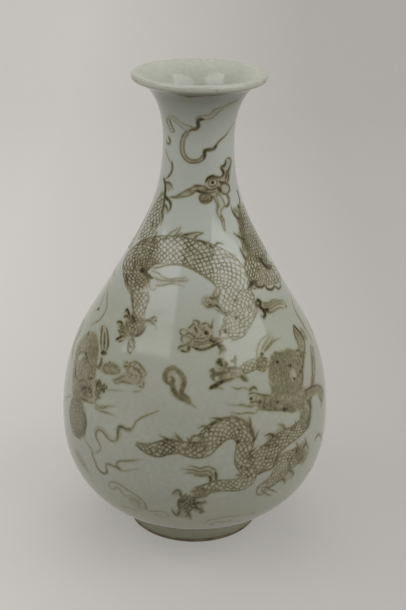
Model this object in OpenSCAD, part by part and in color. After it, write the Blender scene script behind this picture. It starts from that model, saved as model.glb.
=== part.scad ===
// Pear-shaped bottle vase: a trumpet mouth, a slim neck, a full low belly and a splayed foot ring.
// The clay is thrown in sections that are luted together with slip and then glazed inside and out.
// The outline below is that of the finished, glazed vase. Clay and glaze are offsets of it.
// Millimetres, +Z up, origin on the axis at the resting face of the foot ring.

/* [Foot] */
// Radius of the glazed foot at the resting face
foot_radius = 46.8; // [40:0.1:54]
// Height of the foot, from the resting face to where the belly springs from it
foot_height = 10; // [8:0.1:14]
// How much narrower the foot is at its top than at the resting face
foot_splay = 1.5; // [0:0.1:3]
// Width of the ring of bare clay that the vase rests on
foot_ring_width = 6.5; // [5:0.1:9]
// Draft of the ring's inner wall, which makes the ring thicker at its top
foot_ring_draft = 2; // [0:0.1:4]
// Chamfer on both edges of the resting face
foot_chamfer = 0.8; // [0.3:0.1:1.5]
// Height of the band of bare clay below the glaze
bare_band = 2.4; // [1.8:0.1:4]
// Clay between the underside of the base and the level where the belly springs
base_web = 2.5; // [1.5:0.1:4]

/* [Belly] */
// Radius of the belly at its widest
belly_radius = 92.3; // [80:0.1:105]
// Rise from the top of the foot to the widest part of the belly
belly_rise = 72; // [60:0.5:85]
// Angle above the horizontal at which the belly leaves the foot
belly_angle = 28; // [20:1:40]
// Radius of the shoulder where its curve turns from convex to concave
shoulder_radius = 59.6; // [50:0.1:68]
// Rise from the widest part of the belly to that turn
shoulder_rise = 95; // [80:0.5:115]
// Angle from the vertical of the shoulder at that turn
shoulder_angle = 29; // [20:1:36]

/* [Neck and mouth] */
// Radius of the neck at its waist
neck_radius = 23.1; // [18:0.1:28]
// Rise from the turn of the shoulder to the waist of the neck
neck_rise = 100; // [80:0.5:120]
// Radius of the lip
lip_radius = 43.4; // [36:0.1:52]
// Rise from the waist of the neck to the top of the lip
mouth_rise = 43; // [34:0.5:56]
// Angle above the horizontal of the flare at the lip
flare_angle = 13; // [5:1:30]

/* [Walls and glaze] */
// Thickness of the clay wall where the belly leaves the foot
wall_at_foot = 6; // [4.5:0.1:8]
// Thickness of the clay wall at the lip
wall_at_lip = 4; // [3:0.1:5]
// Thickness of the fired glaze
glaze = 0.5; // [0.3:0.05:0.8]

/* [Luted seams] */
// Thickness of the layer of slip in each seam
slip = 0.8; // [0.4:0.1:1.2]
// Drop across the wall of the bevelled edges that nest in each seam
seam_bevel = 2; // [0:0.1:2.5]
// How far the wiped slip stays back from both faces of the wall
slip_setback = 0.1; // [0.05:0.05:0.3]
// Where the neck's seam lies on the shoulder's concave curve, as a share of that curve
neck_seam_at = 0.36; // [0.25:0.01:0.6]

/* [Fullness of the curves] */
// Handle of the belly's curve at the foot, as a share of the belly's rise
belly_low_handle = 0.53; // [0.35:0.01:0.65]
// Handle of the belly's curve at its widest, as a share of the belly's rise
belly_wide_handle = 0.49; // [0.35:0.01:0.65]
// Handle of the shoulder's curve at the belly, as a share of the shoulder's rise
shoulder_low_handle = 0.55; // [0.4:0.01:0.65]
// Handle of the shoulder's curve at its turn, as a share of the shoulder's rise
shoulder_turn_handle = 0.27; // [0.15:0.01:0.4]
// Handle of the neck's curve at the shoulder, as a share of the neck's rise
neck_turn_handle = 0.475; // [0.3:0.005:0.6]
// Handle of the neck's curve at its waist, as a share of the neck's rise
neck_waist_handle = 0.415; // [0.3:0.005:0.55]
// Handle of the mouth's curve at the waist, as a share of the mouth's rise
mouth_waist_handle = 0.6; // [0.4:0.01:0.7]
// Handle of the mouth's curve at the lip, as a share of the flare's width
mouth_lip_handle = 0.56; // [0.4:0.01:0.7]

/* [Hidden] */
$fn = 180;

// Straight stretches that stand for each curve
curve_steps = 22;
lip_steps = 6;
quarter_turn = 90;

clay_colour = [0.80, 0.76, 0.68];
slip_colour = [0.72, 0.67, 0.58];
glaze_colour = [0.72, 0.76, 0.70];

// Levels on the axis
belly_z = foot_height + belly_rise;
shoulder_z = belly_z + shoulder_rise;
waist_z = shoulder_z + neck_rise;
vase_height = waist_z + mouth_rise;
base_under = foot_height - base_web;

// The lip is a full round across the wall and both coats of glaze
lip_thickness = wall_at_lip + 2 * glaze;
flare_along = [cos(flare_angle), sin(flare_angle)];
flare_out = [sin(flare_angle), -cos(flare_angle)];
lip_centre = [lip_radius - lip_thickness / 2, vase_height - lip_thickness / 2];
flare_end = lip_centre + flare_out * lip_thickness / 2;

// Corners of the outline, as [radius, height]
foot_top = [foot_radius - foot_splay, foot_height];
belly = [belly_radius, belly_z];
shoulder = [shoulder_radius, shoulder_z];
waist = [neck_radius, waist_z];
up = [0, 1];
shoulder_along = [-sin(shoulder_angle), cos(shoulder_angle)];
belly_along = [cos(belly_angle), sin(belly_angle)];
flare_width = flare_end[0] - neck_radius;

// The four cubic curves of the outline, from the foot to the lip
belly_curve = [foot_top, foot_top + belly_along * belly_low_handle * belly_rise,
               belly - up * belly_wide_handle * belly_rise, belly];
shoulder_curve = [belly, belly + up * shoulder_low_handle * shoulder_rise,
                  shoulder - shoulder_along * shoulder_turn_handle * shoulder_rise, shoulder];
neck_curve = [shoulder, shoulder + shoulder_along * neck_turn_handle * neck_rise,
              waist - up * neck_waist_handle * neck_rise, waist];
mouth_curve = [waist, waist + up * mouth_waist_handle * (flare_end[1] - waist_z),
               flare_end - flare_along * mouth_lip_handle * flare_width, flare_end];

function reversed(list) = [for (i = [len(list) - 1 : -1 : 0]) list[i]];
function mix(a, b, t) = a + (b - a) * t;

// A point of a cubic curve, and its unit direction of travel
function curve_point(c, t) =
    let (s = 1 - t)
    c[0] * s * s * s + c[1] * 3 * s * s * t + c[2] * 3 * s * t * t + c[3] * t * t * t;
function curve_way(c, t) =
    let (s = 1 - t,
         d = (c[1] - c[0]) * s * s + (c[2] - c[1]) * 2 * s * t + (c[3] - c[2]) * t * t)
    d / norm(d);

// A station of the outline: its point and the direction in which the outline travels there
function station(c, t) = [curve_point(c, t), curve_way(c, t)];
// Stations along a stretch of a curve, without its two ends, which seams or other curves supply
function inner_stations(c, from, to) =
    [for (i = [1 : curve_steps - 1]) station(c, mix(from, to, i / curve_steps))];

// The outward normal of a station, and the station's point moved inwards by a depth
function outward(s) = [s[1][1], -s[1][0]];
function inset(s, depth) = s[0] - outward(s) * depth;

// The clay wall thins evenly with height from the foot to the lip
function wall(s) =
    mix(wall_at_foot, wall_at_lip, (s[0][1] - foot_height) / (flare_end[1] - foot_height));

// The wall's four surfaces at a station
function face_of_glaze(s) = s[0];
function face_of_clay(s) = inset(s, glaze);
function inside_of_clay(s) = inset(s, glaze + wall(s));
function inside_of_glaze(s) = inset(s, 2 * glaze + wall(s));

belly_start = station(belly_curve, 0);
belly_joint = station(belly_curve, 1);
neck_joint = station(neck_curve, neck_seam_at);
mouth_end = station(mouth_curve, 1);

lower_stations = inner_stations(belly_curve, 0, 1);
upper_stations = concat(inner_stations(shoulder_curve, 0, 1), [station(shoulder_curve, 1)],
                        inner_stations(neck_curve, 0, neck_seam_at));
neck_stations = concat(inner_stations(neck_curve, neck_seam_at, 1), [station(neck_curve, 1)],
                       inner_stations(mouth_curve, 0, 1), [mouth_end]);
body_stations = concat([belly_start], lower_stations, [belly_joint], upper_stations,
                       [neck_joint], neck_stations);

// The edges of a bevelled seam: the outer edge lies lower than the inner one.
// side is -1 for the section below the slip and 1 for the section above it.
function seam_outside(s, side) = face_of_clay(s) + s[1] * (side * slip - seam_bevel) / 2;
function seam_inside(s, side) = inside_of_clay(s) + s[1] * (side * slip + seam_bevel) / 2;

// The round of the lip at a distance from the middle of the wall, by the angle from its underside.
// The outer half ends on the crest, and the inner half starts just past it.
function lip_point(radius, angle) =
    lip_centre + radius * (flare_out * cos(angle) + flare_along * sin(angle));
function lip_outer(radius) =
    [for (i = [1 : lip_steps]) lip_point(radius, quarter_turn * i / lip_steps)];
function lip_inner(radius) =
    [for (i = [1 : lip_steps - 1]) lip_point(radius, quarter_turn * (1 + i / lip_steps))];

// Clay surface of each stretch of the wall, seams included, from the foot to the lip
function faces(list) = [for (s = list) face_of_clay(s)];
function insides(list) = [for (s = list) inside_of_clay(s)];
clay_face = concat(
    [face_of_clay(belly_start)], faces(lower_stations),
    [seam_outside(belly_joint, -1), seam_outside(belly_joint, 1)], faces(upper_stations),
    [seam_outside(neck_joint, -1), seam_outside(neck_joint, 1)], faces(neck_stations));
clay_inside = concat(
    [inside_of_clay(belly_start)], insides(lower_stations),
    [seam_inside(belly_joint, -1), seam_inside(belly_joint, 1)], insides(upper_stations),
    [seam_inside(neck_joint, -1), seam_inside(neck_joint, 1)], insides(neck_stations));

// The foot's outer face, a straight line: its glazed radius and its clay radius at a level
function foot_face(z) = foot_radius - foot_splay * z / foot_height;
function foot_clay(z) = foot_face(z) - glaze;
// The clay face of the belly meets the clay face of the foot at the belly's own first point
foot_corner = face_of_clay(belly_start);
// The ring's inner wall at a level
ring_bottom_inside = foot_clay(0) - foot_ring_width;
function ring_inside(z) = ring_bottom_inside - foot_ring_draft * z / base_under;
ring_top = base_under - slip;
floor_z = inside_of_clay(belly_start)[1];

// A solid of revolution from a half outline
module turned(outline) {
    rotate_extrude() polygon(outline);
}

// The foot ring, turned from a coil of clay, with its resting face left bare
module foot_ring() {
    color(clay_colour) turned([
        [ring_inside(0) + foot_chamfer, 0], [foot_clay(0) - foot_chamfer, 0],
        [foot_clay(foot_chamfer), foot_chamfer], [foot_clay(ring_top), ring_top],
        [ring_inside(ring_top), ring_top], [ring_inside(foot_chamfer), foot_chamfer]]);
}

// Slip that lutes the foot ring to the base
module foot_seam() {
    color(slip_colour) turned([
        [ring_inside(ring_top) + slip_setback, ring_top], [foot_clay(ring_top) - slip_setback, ring_top],
        [foot_clay(base_under) - slip_setback, base_under],
        [ring_inside(base_under) + slip_setback, base_under]]);
}

// The lower section: a thrown bowl with the floor of the vase
module lower_body() {
    color(clay_colour) turned(concat(
        [[0, base_under], [foot_clay(base_under), base_under], foot_corner],
        faces(lower_stations), [seam_outside(belly_joint, -1), seam_inside(belly_joint, -1)],
        reversed(insides(lower_stations)), [inside_of_clay(belly_start), [0, floor_z]]));
}

// The upper section: the shoulder, from the widest part of the belly to the base of the neck
module upper_body() {
    color(clay_colour) turned(concat(
        [seam_outside(belly_joint, 1)], faces(upper_stations),
        [seam_outside(neck_joint, -1), seam_inside(neck_joint, -1)],
        reversed(insides(upper_stations)), [seam_inside(belly_joint, 1)]));
}

// The top section: the neck and its trumpet mouth
module neck() {
    color(clay_colour) turned(concat(
        [seam_outside(neck_joint, 1)], faces(neck_stations),
        lip_outer(wall_at_lip / 2), lip_inner(wall_at_lip / 2),
        reversed(insides(neck_stations)), [seam_inside(neck_joint, 1)]));
}

// A layer of slip between two bevelled edges, wiped back from both faces of the wall
function seam_edge(from, to) = from + (to - from) * slip_setback / norm(to - from);
module luted_seam(joint) {
    color(slip_colour) turned([
        for (side = [-1, 1]) seam_edge(seam_outside(joint, side), seam_inside(joint, side)),
        for (side = [1, -1]) seam_edge(seam_inside(joint, side), seam_outside(joint, side))]);
}

module belly_seam() {
    luted_seam(belly_joint);
}

module neck_seam() {
    luted_seam(neck_joint);
}

// The outer coat of glaze, from just above the resting face to the edge of the lip
module outer_glaze() {
    color(glaze_colour) turned(concat(
        [[foot_face(bare_band), bare_band]], [for (s = body_stations) face_of_glaze(s)],
        lip_outer(lip_thickness / 2), reversed(lip_outer(wall_at_lip / 2)), reversed(clay_face),
        [[foot_clay(base_under), base_under], [foot_clay(bare_band), bare_band]]));
}

// The inner coat of glaze, poured in and swilled round, up to the edge of the lip
module inner_glaze() {
    color(glaze_colour) turned(concat(
        [[0, floor_z]], clay_inside, reversed(lip_inner(wall_at_lip / 2)),
        [lip_point(wall_at_lip / 2, quarter_turn), lip_point(lip_thickness / 2, quarter_turn)],
        lip_inner(lip_thickness / 2),
        reversed([for (s = body_stations) inside_of_glaze(s)]),
        [[0, inside_of_glaze(belly_start)[1]]]));
}

// Glaze on the recessed base and down the inner wall of the foot ring
module base_glaze() {
    color(glaze_colour) turned([
        [0, base_under - glaze], [ring_inside(base_under) - glaze, base_under - glaze],
        [ring_inside(bare_band) - glaze, bare_band], [ring_inside(bare_band), bare_band],
        [ring_inside(base_under), base_under], [0, base_under]]);
}

foot_ring();
foot_seam();
lower_body();
belly_seam();
upper_body();
neck_seam();
neck();
outer_glaze();
inner_glaze();
base_glaze();
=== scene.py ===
import math
import bpy
import numpy as np
from mathutils import Matrix


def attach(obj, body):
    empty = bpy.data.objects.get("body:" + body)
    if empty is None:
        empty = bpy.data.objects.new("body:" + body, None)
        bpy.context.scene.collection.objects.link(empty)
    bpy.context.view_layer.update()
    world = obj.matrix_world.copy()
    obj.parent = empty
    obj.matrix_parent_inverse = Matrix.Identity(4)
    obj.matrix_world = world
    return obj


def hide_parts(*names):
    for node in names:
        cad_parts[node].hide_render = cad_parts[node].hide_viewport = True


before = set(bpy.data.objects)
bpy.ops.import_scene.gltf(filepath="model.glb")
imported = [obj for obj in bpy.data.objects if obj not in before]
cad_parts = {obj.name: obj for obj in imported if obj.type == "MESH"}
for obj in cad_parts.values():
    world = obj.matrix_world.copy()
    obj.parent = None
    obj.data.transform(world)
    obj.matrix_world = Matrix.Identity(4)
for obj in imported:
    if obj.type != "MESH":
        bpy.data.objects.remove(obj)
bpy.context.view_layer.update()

# Camera: it stands where the photograph was taken from, about 0.8 m from the vase and 16 cm above
# its mouth, and looks down on the shoulder. Lengths are in millimetres until a mesh is made.
image_width = 406
image_height = 610
focal_length = 1200  # pixels
sensor_side = 36  # along the longer side of the image
eye = np.array([0.0, -753.0, 479.0])
camera_yaw = math.radians(0.353)
camera_pitch = math.radians(22.94)
camera_roll = math.radians(0.951)
millimetre = 0.001

view_ahead = np.array([math.sin(camera_yaw) * math.cos(camera_pitch),
                       math.cos(camera_yaw) * math.cos(camera_pitch), -math.sin(camera_pitch)])
level_right = np.array([math.cos(camera_yaw), -math.sin(camera_yaw), 0])
level_up = np.cross(level_right, view_ahead)
view_right = level_right * math.cos(camera_roll) + level_up * math.sin(camera_roll)
view_up = level_up * math.cos(camera_roll) - level_right * math.sin(camera_roll)

camera = bpy.data.objects.new("photograph_camera", bpy.data.cameras.new("photograph_camera"))
camera.data.sensor_width = sensor_side
camera.data.lens = focal_length / image_height * sensor_side
camera_axes = Matrix(np.column_stack([view_right, view_up, -view_ahead]).tolist()).to_4x4()
camera.matrix_world = Matrix.Translation(eye * millimetre) @ camera_axes
bpy.context.collection.objects.link(camera)
bpy.context.scene.camera = camera


# Thrown clay sections and luted seams: the porcelain body under the glaze, thrown in three
# sections and stuck together with wet slip. The fired body is dense, matt and greyish buff.
def linear(hex_colour):
    """Linear RGBA of an sRGB hex colour."""
    shares = [int(hex_colour[i:i + 2], 16) / 255 for i in (1, 3, 5)]
    return [c / 12.92 if c <= 0.04045 else ((c + 0.055) / 1.055) ** 2.4 for c in shares] + [1]


def new_material(name):
    """An empty node material."""
    material = bpy.data.materials.new(name)
    material.use_nodes = True
    material.node_tree.nodes.clear()
    return material


def add_node(material, kind, sockets=(), **settings):
    """Adds a node with its settings. Each socket gets a value, or a link from another node's output."""
    node = material.node_tree.nodes.new(kind)
    for name, value in settings.items():
        setattr(node, name, value)
    for name, value in dict(sockets).items():
        if isinstance(value, bpy.types.NodeSocket):
            material.node_tree.links.new(value, node.inputs[name])
        else:
            node.inputs[name].default_value = value
    return node


def per_metre(size):
    """Texture scale that gives a pattern of the given size in millimetres."""
    return 1 / (size * millimetre)


def fired_clay(name, pale, burnt, patch_size, grit_size):
    """Bare high-fired porcelain body: matt, with a fine grit and patches burnt browner by the kiln.
    The grit is drawn coarser than in real clay, so that it shows."""
    material = new_material(name)
    place = add_node(material, "ShaderNodeTexCoord").outputs["Object"]
    patches = add_node(material, "ShaderNodeTexNoise",
                       {"Vector": place, "Scale": per_metre(patch_size), "Detail": 4})
    grit = add_node(material, "ShaderNodeTexNoise",
                    {"Vector": place, "Scale": per_metre(grit_size), "Detail": 3})
    burning = add_node(material, "ShaderNodeMapRange", {
        "Value": patches.outputs["Fac"], "From Min": 0.35, "From Max": 0.68})
    body = add_node(material, "ShaderNodeMix", {
        0: burning.outputs["Result"], 6: linear(pale), 7: linear(burnt)}, data_type="RGBA")
    grain = add_node(material, "ShaderNodeMapRange", {
        "Value": grit.outputs["Fac"], "From Min": 0.25, "From Max": 0.75, "To Min": 0.78, "To Max": 1.08})
    speckled = add_node(material, "ShaderNodeVectorMath", {
        0: body.outputs[2], 1: grain.outputs["Result"]}, operation="MULTIPLY")
    rough = add_node(material, "ShaderNodeBump", {
        "Height": grit.outputs["Fac"], "Strength": 0.5, "Distance": 0.1 * millimetre})
    shader = add_node(material, "ShaderNodeBsdfPrincipled", {
        "Base Color": speckled.outputs["Vector"], "Roughness": 0.75, "IOR": 1.5,
        "Normal": rough.outputs["Normal"]})
    add_node(material, "ShaderNodeOutputMaterial", {"Surface": shader.outputs["BSDF"]})
    return material


thrown_clay = fired_clay("thrown_porcelain_body_unglazed", "#B3A793", "#96866F", 30, 0.9)
luting_slip = fired_clay("luting_slip_fired_matt", "#A99C88", "#8D7E69", 14, 0.6)
for section in ("lower_body", "upper_body", "neck"):
    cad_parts[section].data.materials.clear()
    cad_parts[section].data.materials.append(thrown_clay)
for seam in ("foot_seam", "belly_seam", "neck_seam"):
    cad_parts[seam].data.materials.clear()
    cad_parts[seam].data.materials.append(luting_slip)


# Foot ring: a coil of the same clay turned on the wheel, with its resting face wiped bare of glaze.
# The edges are rounded by wear, and the bare clay is burnt brown where the glaze stops and darkened
# further as painted shade where the foot meets the floor.
foot_radius = 46.8
foot_height = 10
foot_splay = 1.5
foot_ring_width = 6.5
foot_ring_draft = 2
foot_edge = 0.8
ring_columns = 256
bare_band = 2.4
base_web = 2.5
glaze_depth = 0.5
luting_depth = 0.8
base_under = foot_height - base_web
ring_top = base_under - luting_depth
bake_map = "OFBake"  # the map that a finish is baked on


def foot_face(z):
    """Radius of the glazed outside of the foot at a level."""
    return foot_radius - foot_splay * z / foot_height


def ring_inside(z):
    """Radius of the foot ring's inner wall at a level."""
    return foot_face(0) - glaze_depth - foot_ring_width - foot_ring_draft * z / base_under


def rounded(corner, before, after, radius, steps=5):
    """A corner of an outline, rounded over a distance on both of its sides."""
    corner, before, after = (np.array(p, float) for p in (corner, before, after))
    start = corner + (before - corner) / np.linalg.norm(before - corner) * radius
    end = corner + (after - corner) / np.linalg.norm(after - corner) * radius
    t = np.linspace(0, 1, steps)[:, None]
    return start * (1 - t) ** 2 + corner * 2 * t * (1 - t) + end * t ** 2


def add_piece(name, vertices, faces, corner_uv, material, slot, replaced):
    """A smooth mesh piece in millimetres that rides on the vase and stands for one of its solids."""
    mesh = bpy.data.meshes.new(name)
    mesh.from_pydata((np.asarray(vertices) * millimetre).tolist(), [], faces)
    mesh.uv_layers.new(name=bake_map).data.foreach_set("uv", np.asarray(corner_uv, np.float32).ravel())
    mesh.shade_smooth()
    mesh.materials.append(material)
    piece = bpy.data.objects.new(name, mesh)
    bpy.context.collection.objects.link(piece)
    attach(piece, "root")
    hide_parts(replaced)
    return piece


def turn(outline, columns):
    """Vertices, faces and UVs of a closed outline of (radius, height) points, turned about the axis."""
    outline = np.asarray(outline, float)
    along = np.linalg.norm(np.diff(np.vstack([outline, outline[:1]]), axis=0), axis=1)
    level = np.concatenate([[0], np.cumsum(along)]) / along.sum()
    vertices, first = [], []
    for radius, height in outline:
        first.append(len(vertices))
        turns = np.arange(columns) * 2 * math.pi / columns if radius > 1e-6 else [0]
        vertices += [(radius * math.sin(a), -radius * math.cos(a), height) for a in turns]
    on_axis = outline[:, 0] <= 1e-6
    faces, corner_uv = [], []
    for i in range(len(outline)):
        k = (i + 1) % len(outline)
        if on_axis[i] and on_axis[k]:
            continue
        for j in range(columns):
            corners = {}
            for p, q in ((i, j), (i, j + 1), (k, j + 1), (k, j)):
                number = first[p] + (0 if on_axis[p] else q % columns)
                corners[number] = (q / columns, level[i] if p == i else level[i + 1])
            faces.append(list(corners))
            corner_uv += corners.values()
    return vertices, faces, corner_uv


# Kiln-burnt brown, darkened as painted shade where the foot meets the floor
foot_clay = fired_clay("porcelain_foot_kiln_burnt_in_painted_shade", "#786D58", "#4E4230", 9, 0.7)
ring_corners = [(ring_inside(0), 0), (foot_face(0) - glaze_depth, 0),
                (foot_face(ring_top) - glaze_depth, ring_top), (ring_inside(ring_top), ring_top)]
ring_outline = np.vstack([
    rounded(ring_corners[0], ring_corners[3], ring_corners[1], 1.6 * foot_edge),
    rounded(ring_corners[1], ring_corners[0], ring_corners[2], 1.2 * foot_edge),
    ring_corners[2:]])
add_piece("bare_foot_ring", *turn(ring_outline, ring_columns), foot_clay, "bare_clay", "foot_ring")

# Outer coat: one dipped layer of grey-green porcelain glaze over the painting, from just above
# the resting face to the lip. The outline follows the thrown clay and rolls over at both edges.
belly_radius = 92.3
belly_rise = 72
belly_angle = math.radians(28)
shoulder_radius = 59.6
shoulder_rise = 95
shoulder_angle = math.radians(29)
neck_radius = 23.1
neck_rise = 100
lip_radius = 43.4
mouth_rise = 43
flare_angle = math.radians(13)
wall_at_foot = 6
wall_at_lip = 4
corner_pool = 1.6
outline_step = 0.1
belly_low_handle = 0.53  # pulls of the outline's curves, as shares of their rise or width
belly_wide_handle = 0.49
shoulder_low_handle = 0.55
shoulder_turn_handle = 0.27
neck_turn_handle = 0.475
neck_waist_handle = 0.415
mouth_waist_handle = 0.6
mouth_lip_handle = 0.56


def cubic(start, start_pull, end_pull, end):
    """Fine points of a cubic curve between two ends, drawn out by a pull at each end."""
    t = np.linspace(0, 1, 600)[:, None]
    return (start * (1 - t) ** 3 + (start + start_pull) * 3 * t * (1 - t) ** 2
            + (end - end_pull) * 3 * t ** 2 * (1 - t) + end * t ** 3)


upwards = np.array([0.0, 1.0])
belly_way = np.array([math.cos(belly_angle), math.sin(belly_angle)])
shoulder_way = np.array([-math.sin(shoulder_angle), math.cos(shoulder_angle)])
flare_way = np.array([math.cos(flare_angle), math.sin(flare_angle)])
flare_under = np.array([math.sin(flare_angle), -math.cos(flare_angle)])
lip_round = wall_at_lip / 2 + glaze_depth
foot_top = np.array([foot_face(foot_height), foot_height])
belly = np.array([belly_radius, foot_height + belly_rise])
shoulder = np.array([shoulder_radius, belly[1] + shoulder_rise])
waist = np.array([neck_radius, shoulder[1] + neck_rise])
lip_centre = np.array([lip_radius, waist[1] + mouth_rise]) - lip_round
flare_end = lip_centre + flare_under * lip_round
flare_rise, flare_width = flare_end[1] - waist[1], flare_end[0] - waist[0]
body_curve = np.vstack([
    cubic(foot_top, belly_way * belly_low_handle * belly_rise,
          upwards * belly_wide_handle * belly_rise, belly),
    cubic(belly, upwards * shoulder_low_handle * shoulder_rise,
          shoulder_way * shoulder_turn_handle * shoulder_rise, shoulder)[1:],
    cubic(shoulder, shoulder_way * neck_turn_handle * neck_rise,
          upwards * neck_waist_handle * neck_rise, waist)[1:],
    cubic(waist, upwards * mouth_waist_handle * flare_rise,
          flare_way * mouth_lip_handle * flare_width, flare_end)[1:]])


def resampled(points, step):
    """The same path with points at even steps."""
    along = np.concatenate([[0], np.cumsum(np.linalg.norm(np.diff(points, axis=0), axis=1))])
    even = np.linspace(0, along[-1], int(along[-1] / step) + 1)
    return np.column_stack([np.interp(even, along, points[:, k]) for k in (0, 1)])


def outward(path):
    """Unit normals on the outer side of a path of (radius, height) points."""
    way = np.gradient(path, axis=0)
    way /= np.linalg.norm(way, axis=1)[:, None]
    return np.column_stack([way[:, 1], -way[:, 0]])


def lip_arc(radius, start, end):
    """Points on the round of the lip, by the turn in degrees from its underside."""
    turns = np.radians(np.linspace(start, end, 24))[:, None]
    return lip_centre + radius * (flare_under * np.cos(turns) + flare_way * np.sin(turns))


past_corner = body_curve[np.linalg.norm(body_curve - foot_top, axis=1) > corner_pool]
glaze_edge = np.array([foot_face(bare_band), bare_band])
coat_face = resampled(np.vstack([
    [glaze_edge - [glaze_depth, 0]],
    rounded(glaze_edge, glaze_edge - [glaze_depth, 0], foot_top, glaze_depth, 8)[1:],
    rounded(foot_top, glaze_edge, past_corner[0], corner_pool, 12), past_corner,
    lip_arc(lip_round, 0, 90)[1:]]), outline_step)
face_radius, face_height = coat_face.T
face_normal = outward(coat_face)
# The rise on the unrolled coat: with turn angle across, it keeps the shapes of brush marks
unrolled_rise = np.concatenate([[0], np.cumsum(
    outline_step / np.maximum((face_radius[1:] + face_radius[:-1]) / 2, 1))])

# The painting's lattice: columns round the vase and rows up it, in steps that are square everywhere
columns = 1536
block = 16
turn_step = 2 * math.pi / columns
rows = block * round(unrolled_rise[-1] / turn_step / block)
row_rise = np.linspace(0, unrolled_rise[-1], rows + 1)
row_place = np.interp(row_rise, unrolled_rise, np.arange(len(coat_face)))
row_radius = np.interp(row_place, np.arange(len(coat_face)), face_radius)
row_height = np.interp(row_place, np.arange(len(coat_face)), face_height)
brush_marks = np.zeros((rows + 1, columns), np.float32)
washes = np.zeros((rows + 1, columns), np.float32)
near_reach = 560  # between these lengths a ray from the camera meets the vase
far_reach = 960
reach_steps = 800


def on_vase(pixels):
    """Lattice (column, row) of the points of the vase's outside that the photograph's pixels show."""
    pixels = np.asarray(pixels, float)
    ways = (view_ahead + view_right * (pixels[:, :1] - image_width / 2) / focal_length
            - view_up * (pixels[:, 1:] - image_height / 2) / focal_length)
    reach = np.linspace(near_reach, far_reach, reach_steps)
    points = eye + ways[:, None] * reach[:, None]
    depth = (np.interp(points[..., 2], face_height, face_radius)
             - np.hypot(points[..., 0], points[..., 1]))
    inside = depth > 0
    hit = np.where(inside.any(1), inside.argmax(1), depth.argmax(1))
    each = np.arange(len(pixels))
    enter, leave = depth[each, hit], depth[each, hit - 1]
    back = np.where(inside.any(1), enter / np.maximum(enter - leave, 1e-6), 0)
    spot = eye + ways * (reach[hit] - back * (reach[1] - reach[0]))[:, None]
    column = (np.arctan2(spot[:, 0], -spot[:, 1]) / turn_step) + columns / 2
    return np.column_stack([column, np.interp(spot[:, 2], row_height, np.arange(rows + 1))])


def smooth(points, spacing=1.2):
    """A flowing curve through given points, with the share of the way to each of its own points."""
    points = np.asarray(points, float)
    ends = np.vstack([2 * points[0] - points[1], points, 2 * points[-1] - points[-2]])
    path, share = [points[:1]], [[0]]
    for i in range(len(points) - 1):
        a, b, c, d = ends[i:i + 4]
        count = max(2, round(np.linalg.norm(c - b) / spacing))
        t = np.arange(1, count + 1)[:, None] / count
        path.append(b + t * (c - a) / 2 + t ** 2 * (2 * a - 5 * b + 4 * c - d) / 2
                    + t ** 3 * (3 * b - a - 3 * c + d) / 2)
        share.append(i + t[:, 0])
    return np.vstack(path), np.concatenate(share)


def lay(layer, path, half_widths, tones, soft):
    """Lays pigment on the lattice along a path, with half widths and the soft edge in millimetres."""
    unit = 1 / (turn_step * np.interp(path[:, 1], np.arange(rows + 1), row_radius))
    half = np.broadcast_to(half_widths, len(path)) * unit
    tone = np.broadcast_to(tones, len(path))
    for i in range(len(path) - 1):
        a, b = path[i], path[i + 1]
        bleed = soft * unit[i]
        room = max(half[i], half[i + 1]) + bleed
        low = np.floor(np.minimum(a, b) - room).astype(int)
        high = np.ceil(np.maximum(a, b) + room).astype(int) + 1
        across = np.arange(low[0], high[0])
        up = np.arange(max(low[1], 0), min(high[1], rows + 1))
        if len(up) == 0:
            continue
        step = b - a
        length = max(step @ step, 1e-9)
        dx, dy = across[None, :] - a[0], up[:, None] - a[1]
        t = np.clip((dx * step[0] + dy * step[1]) / length, 0, 1)
        gap = np.hypot(dx - t * step[0], dy - t * step[1])
        cover = np.clip((half[i] + (half[i + 1] - half[i]) * t - gap) / bleed + 0.5, 0, 1)
        patch = np.ix_(up, across % columns)
        layer[patch] = np.maximum(layer[patch], cover * (tone[i] + (tone[i + 1] - tone[i]) * t))


hand = np.random.default_rng(11)  # the small unevenness of a painter's hand
hand_shake = 0.4  # pixels
touch_width = 0.35  # share of a stroke's width where the brush touches down, and where it leaves
leave_width = 0.25
fresh_load = 1.08  # pigment in a fresh brush, and what a stroke uses up
load_used = 0.24
stroke_bleed = 0.95  # soft edge of a stroke
halo_reach = 0.7  # brown halo round a stroke: its reach past the edge, its share and its soft edge
halo_share = 0.2
halo_bleed = 1.5
wiped_share = 0.25


def brush(width, tone, press=0.12, lift=0.3, **strokes):
    """Brush strokes through photograph pixels, full at the press and thinning at the lift of the brush,
    paler as the pigment runs out. It bleeds into a thin brown halo under the glaze."""
    for points in strokes.values():
        path, share = smooth(points)
        share = share / share[-1]
        full = np.minimum(
            touch_width + (1 - touch_width) * np.minimum(1, share / max(press, 1e-3)),
            leave_width + (1 - leave_width) * np.minimum(1, (1 - share) / max(lift, 1e-3)))
        spots = on_vase(path)
        load = tone * (fresh_load - load_used * share)
        lay(brush_marks, spots, width / 2 * full, load, stroke_bleed)
        lay(washes, spots, width / 2 * full + halo_reach, halo_share * load, halo_bleed)


def dots(width, tone, **spots):
    """Round dabs of the brush at photograph pixels."""
    for centre in spots.values():
        brush(width, tone, press=0.2, lift=0.2, dab=np.add(centre, hand.normal(0, hand_shake, (3, 2))))


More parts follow.
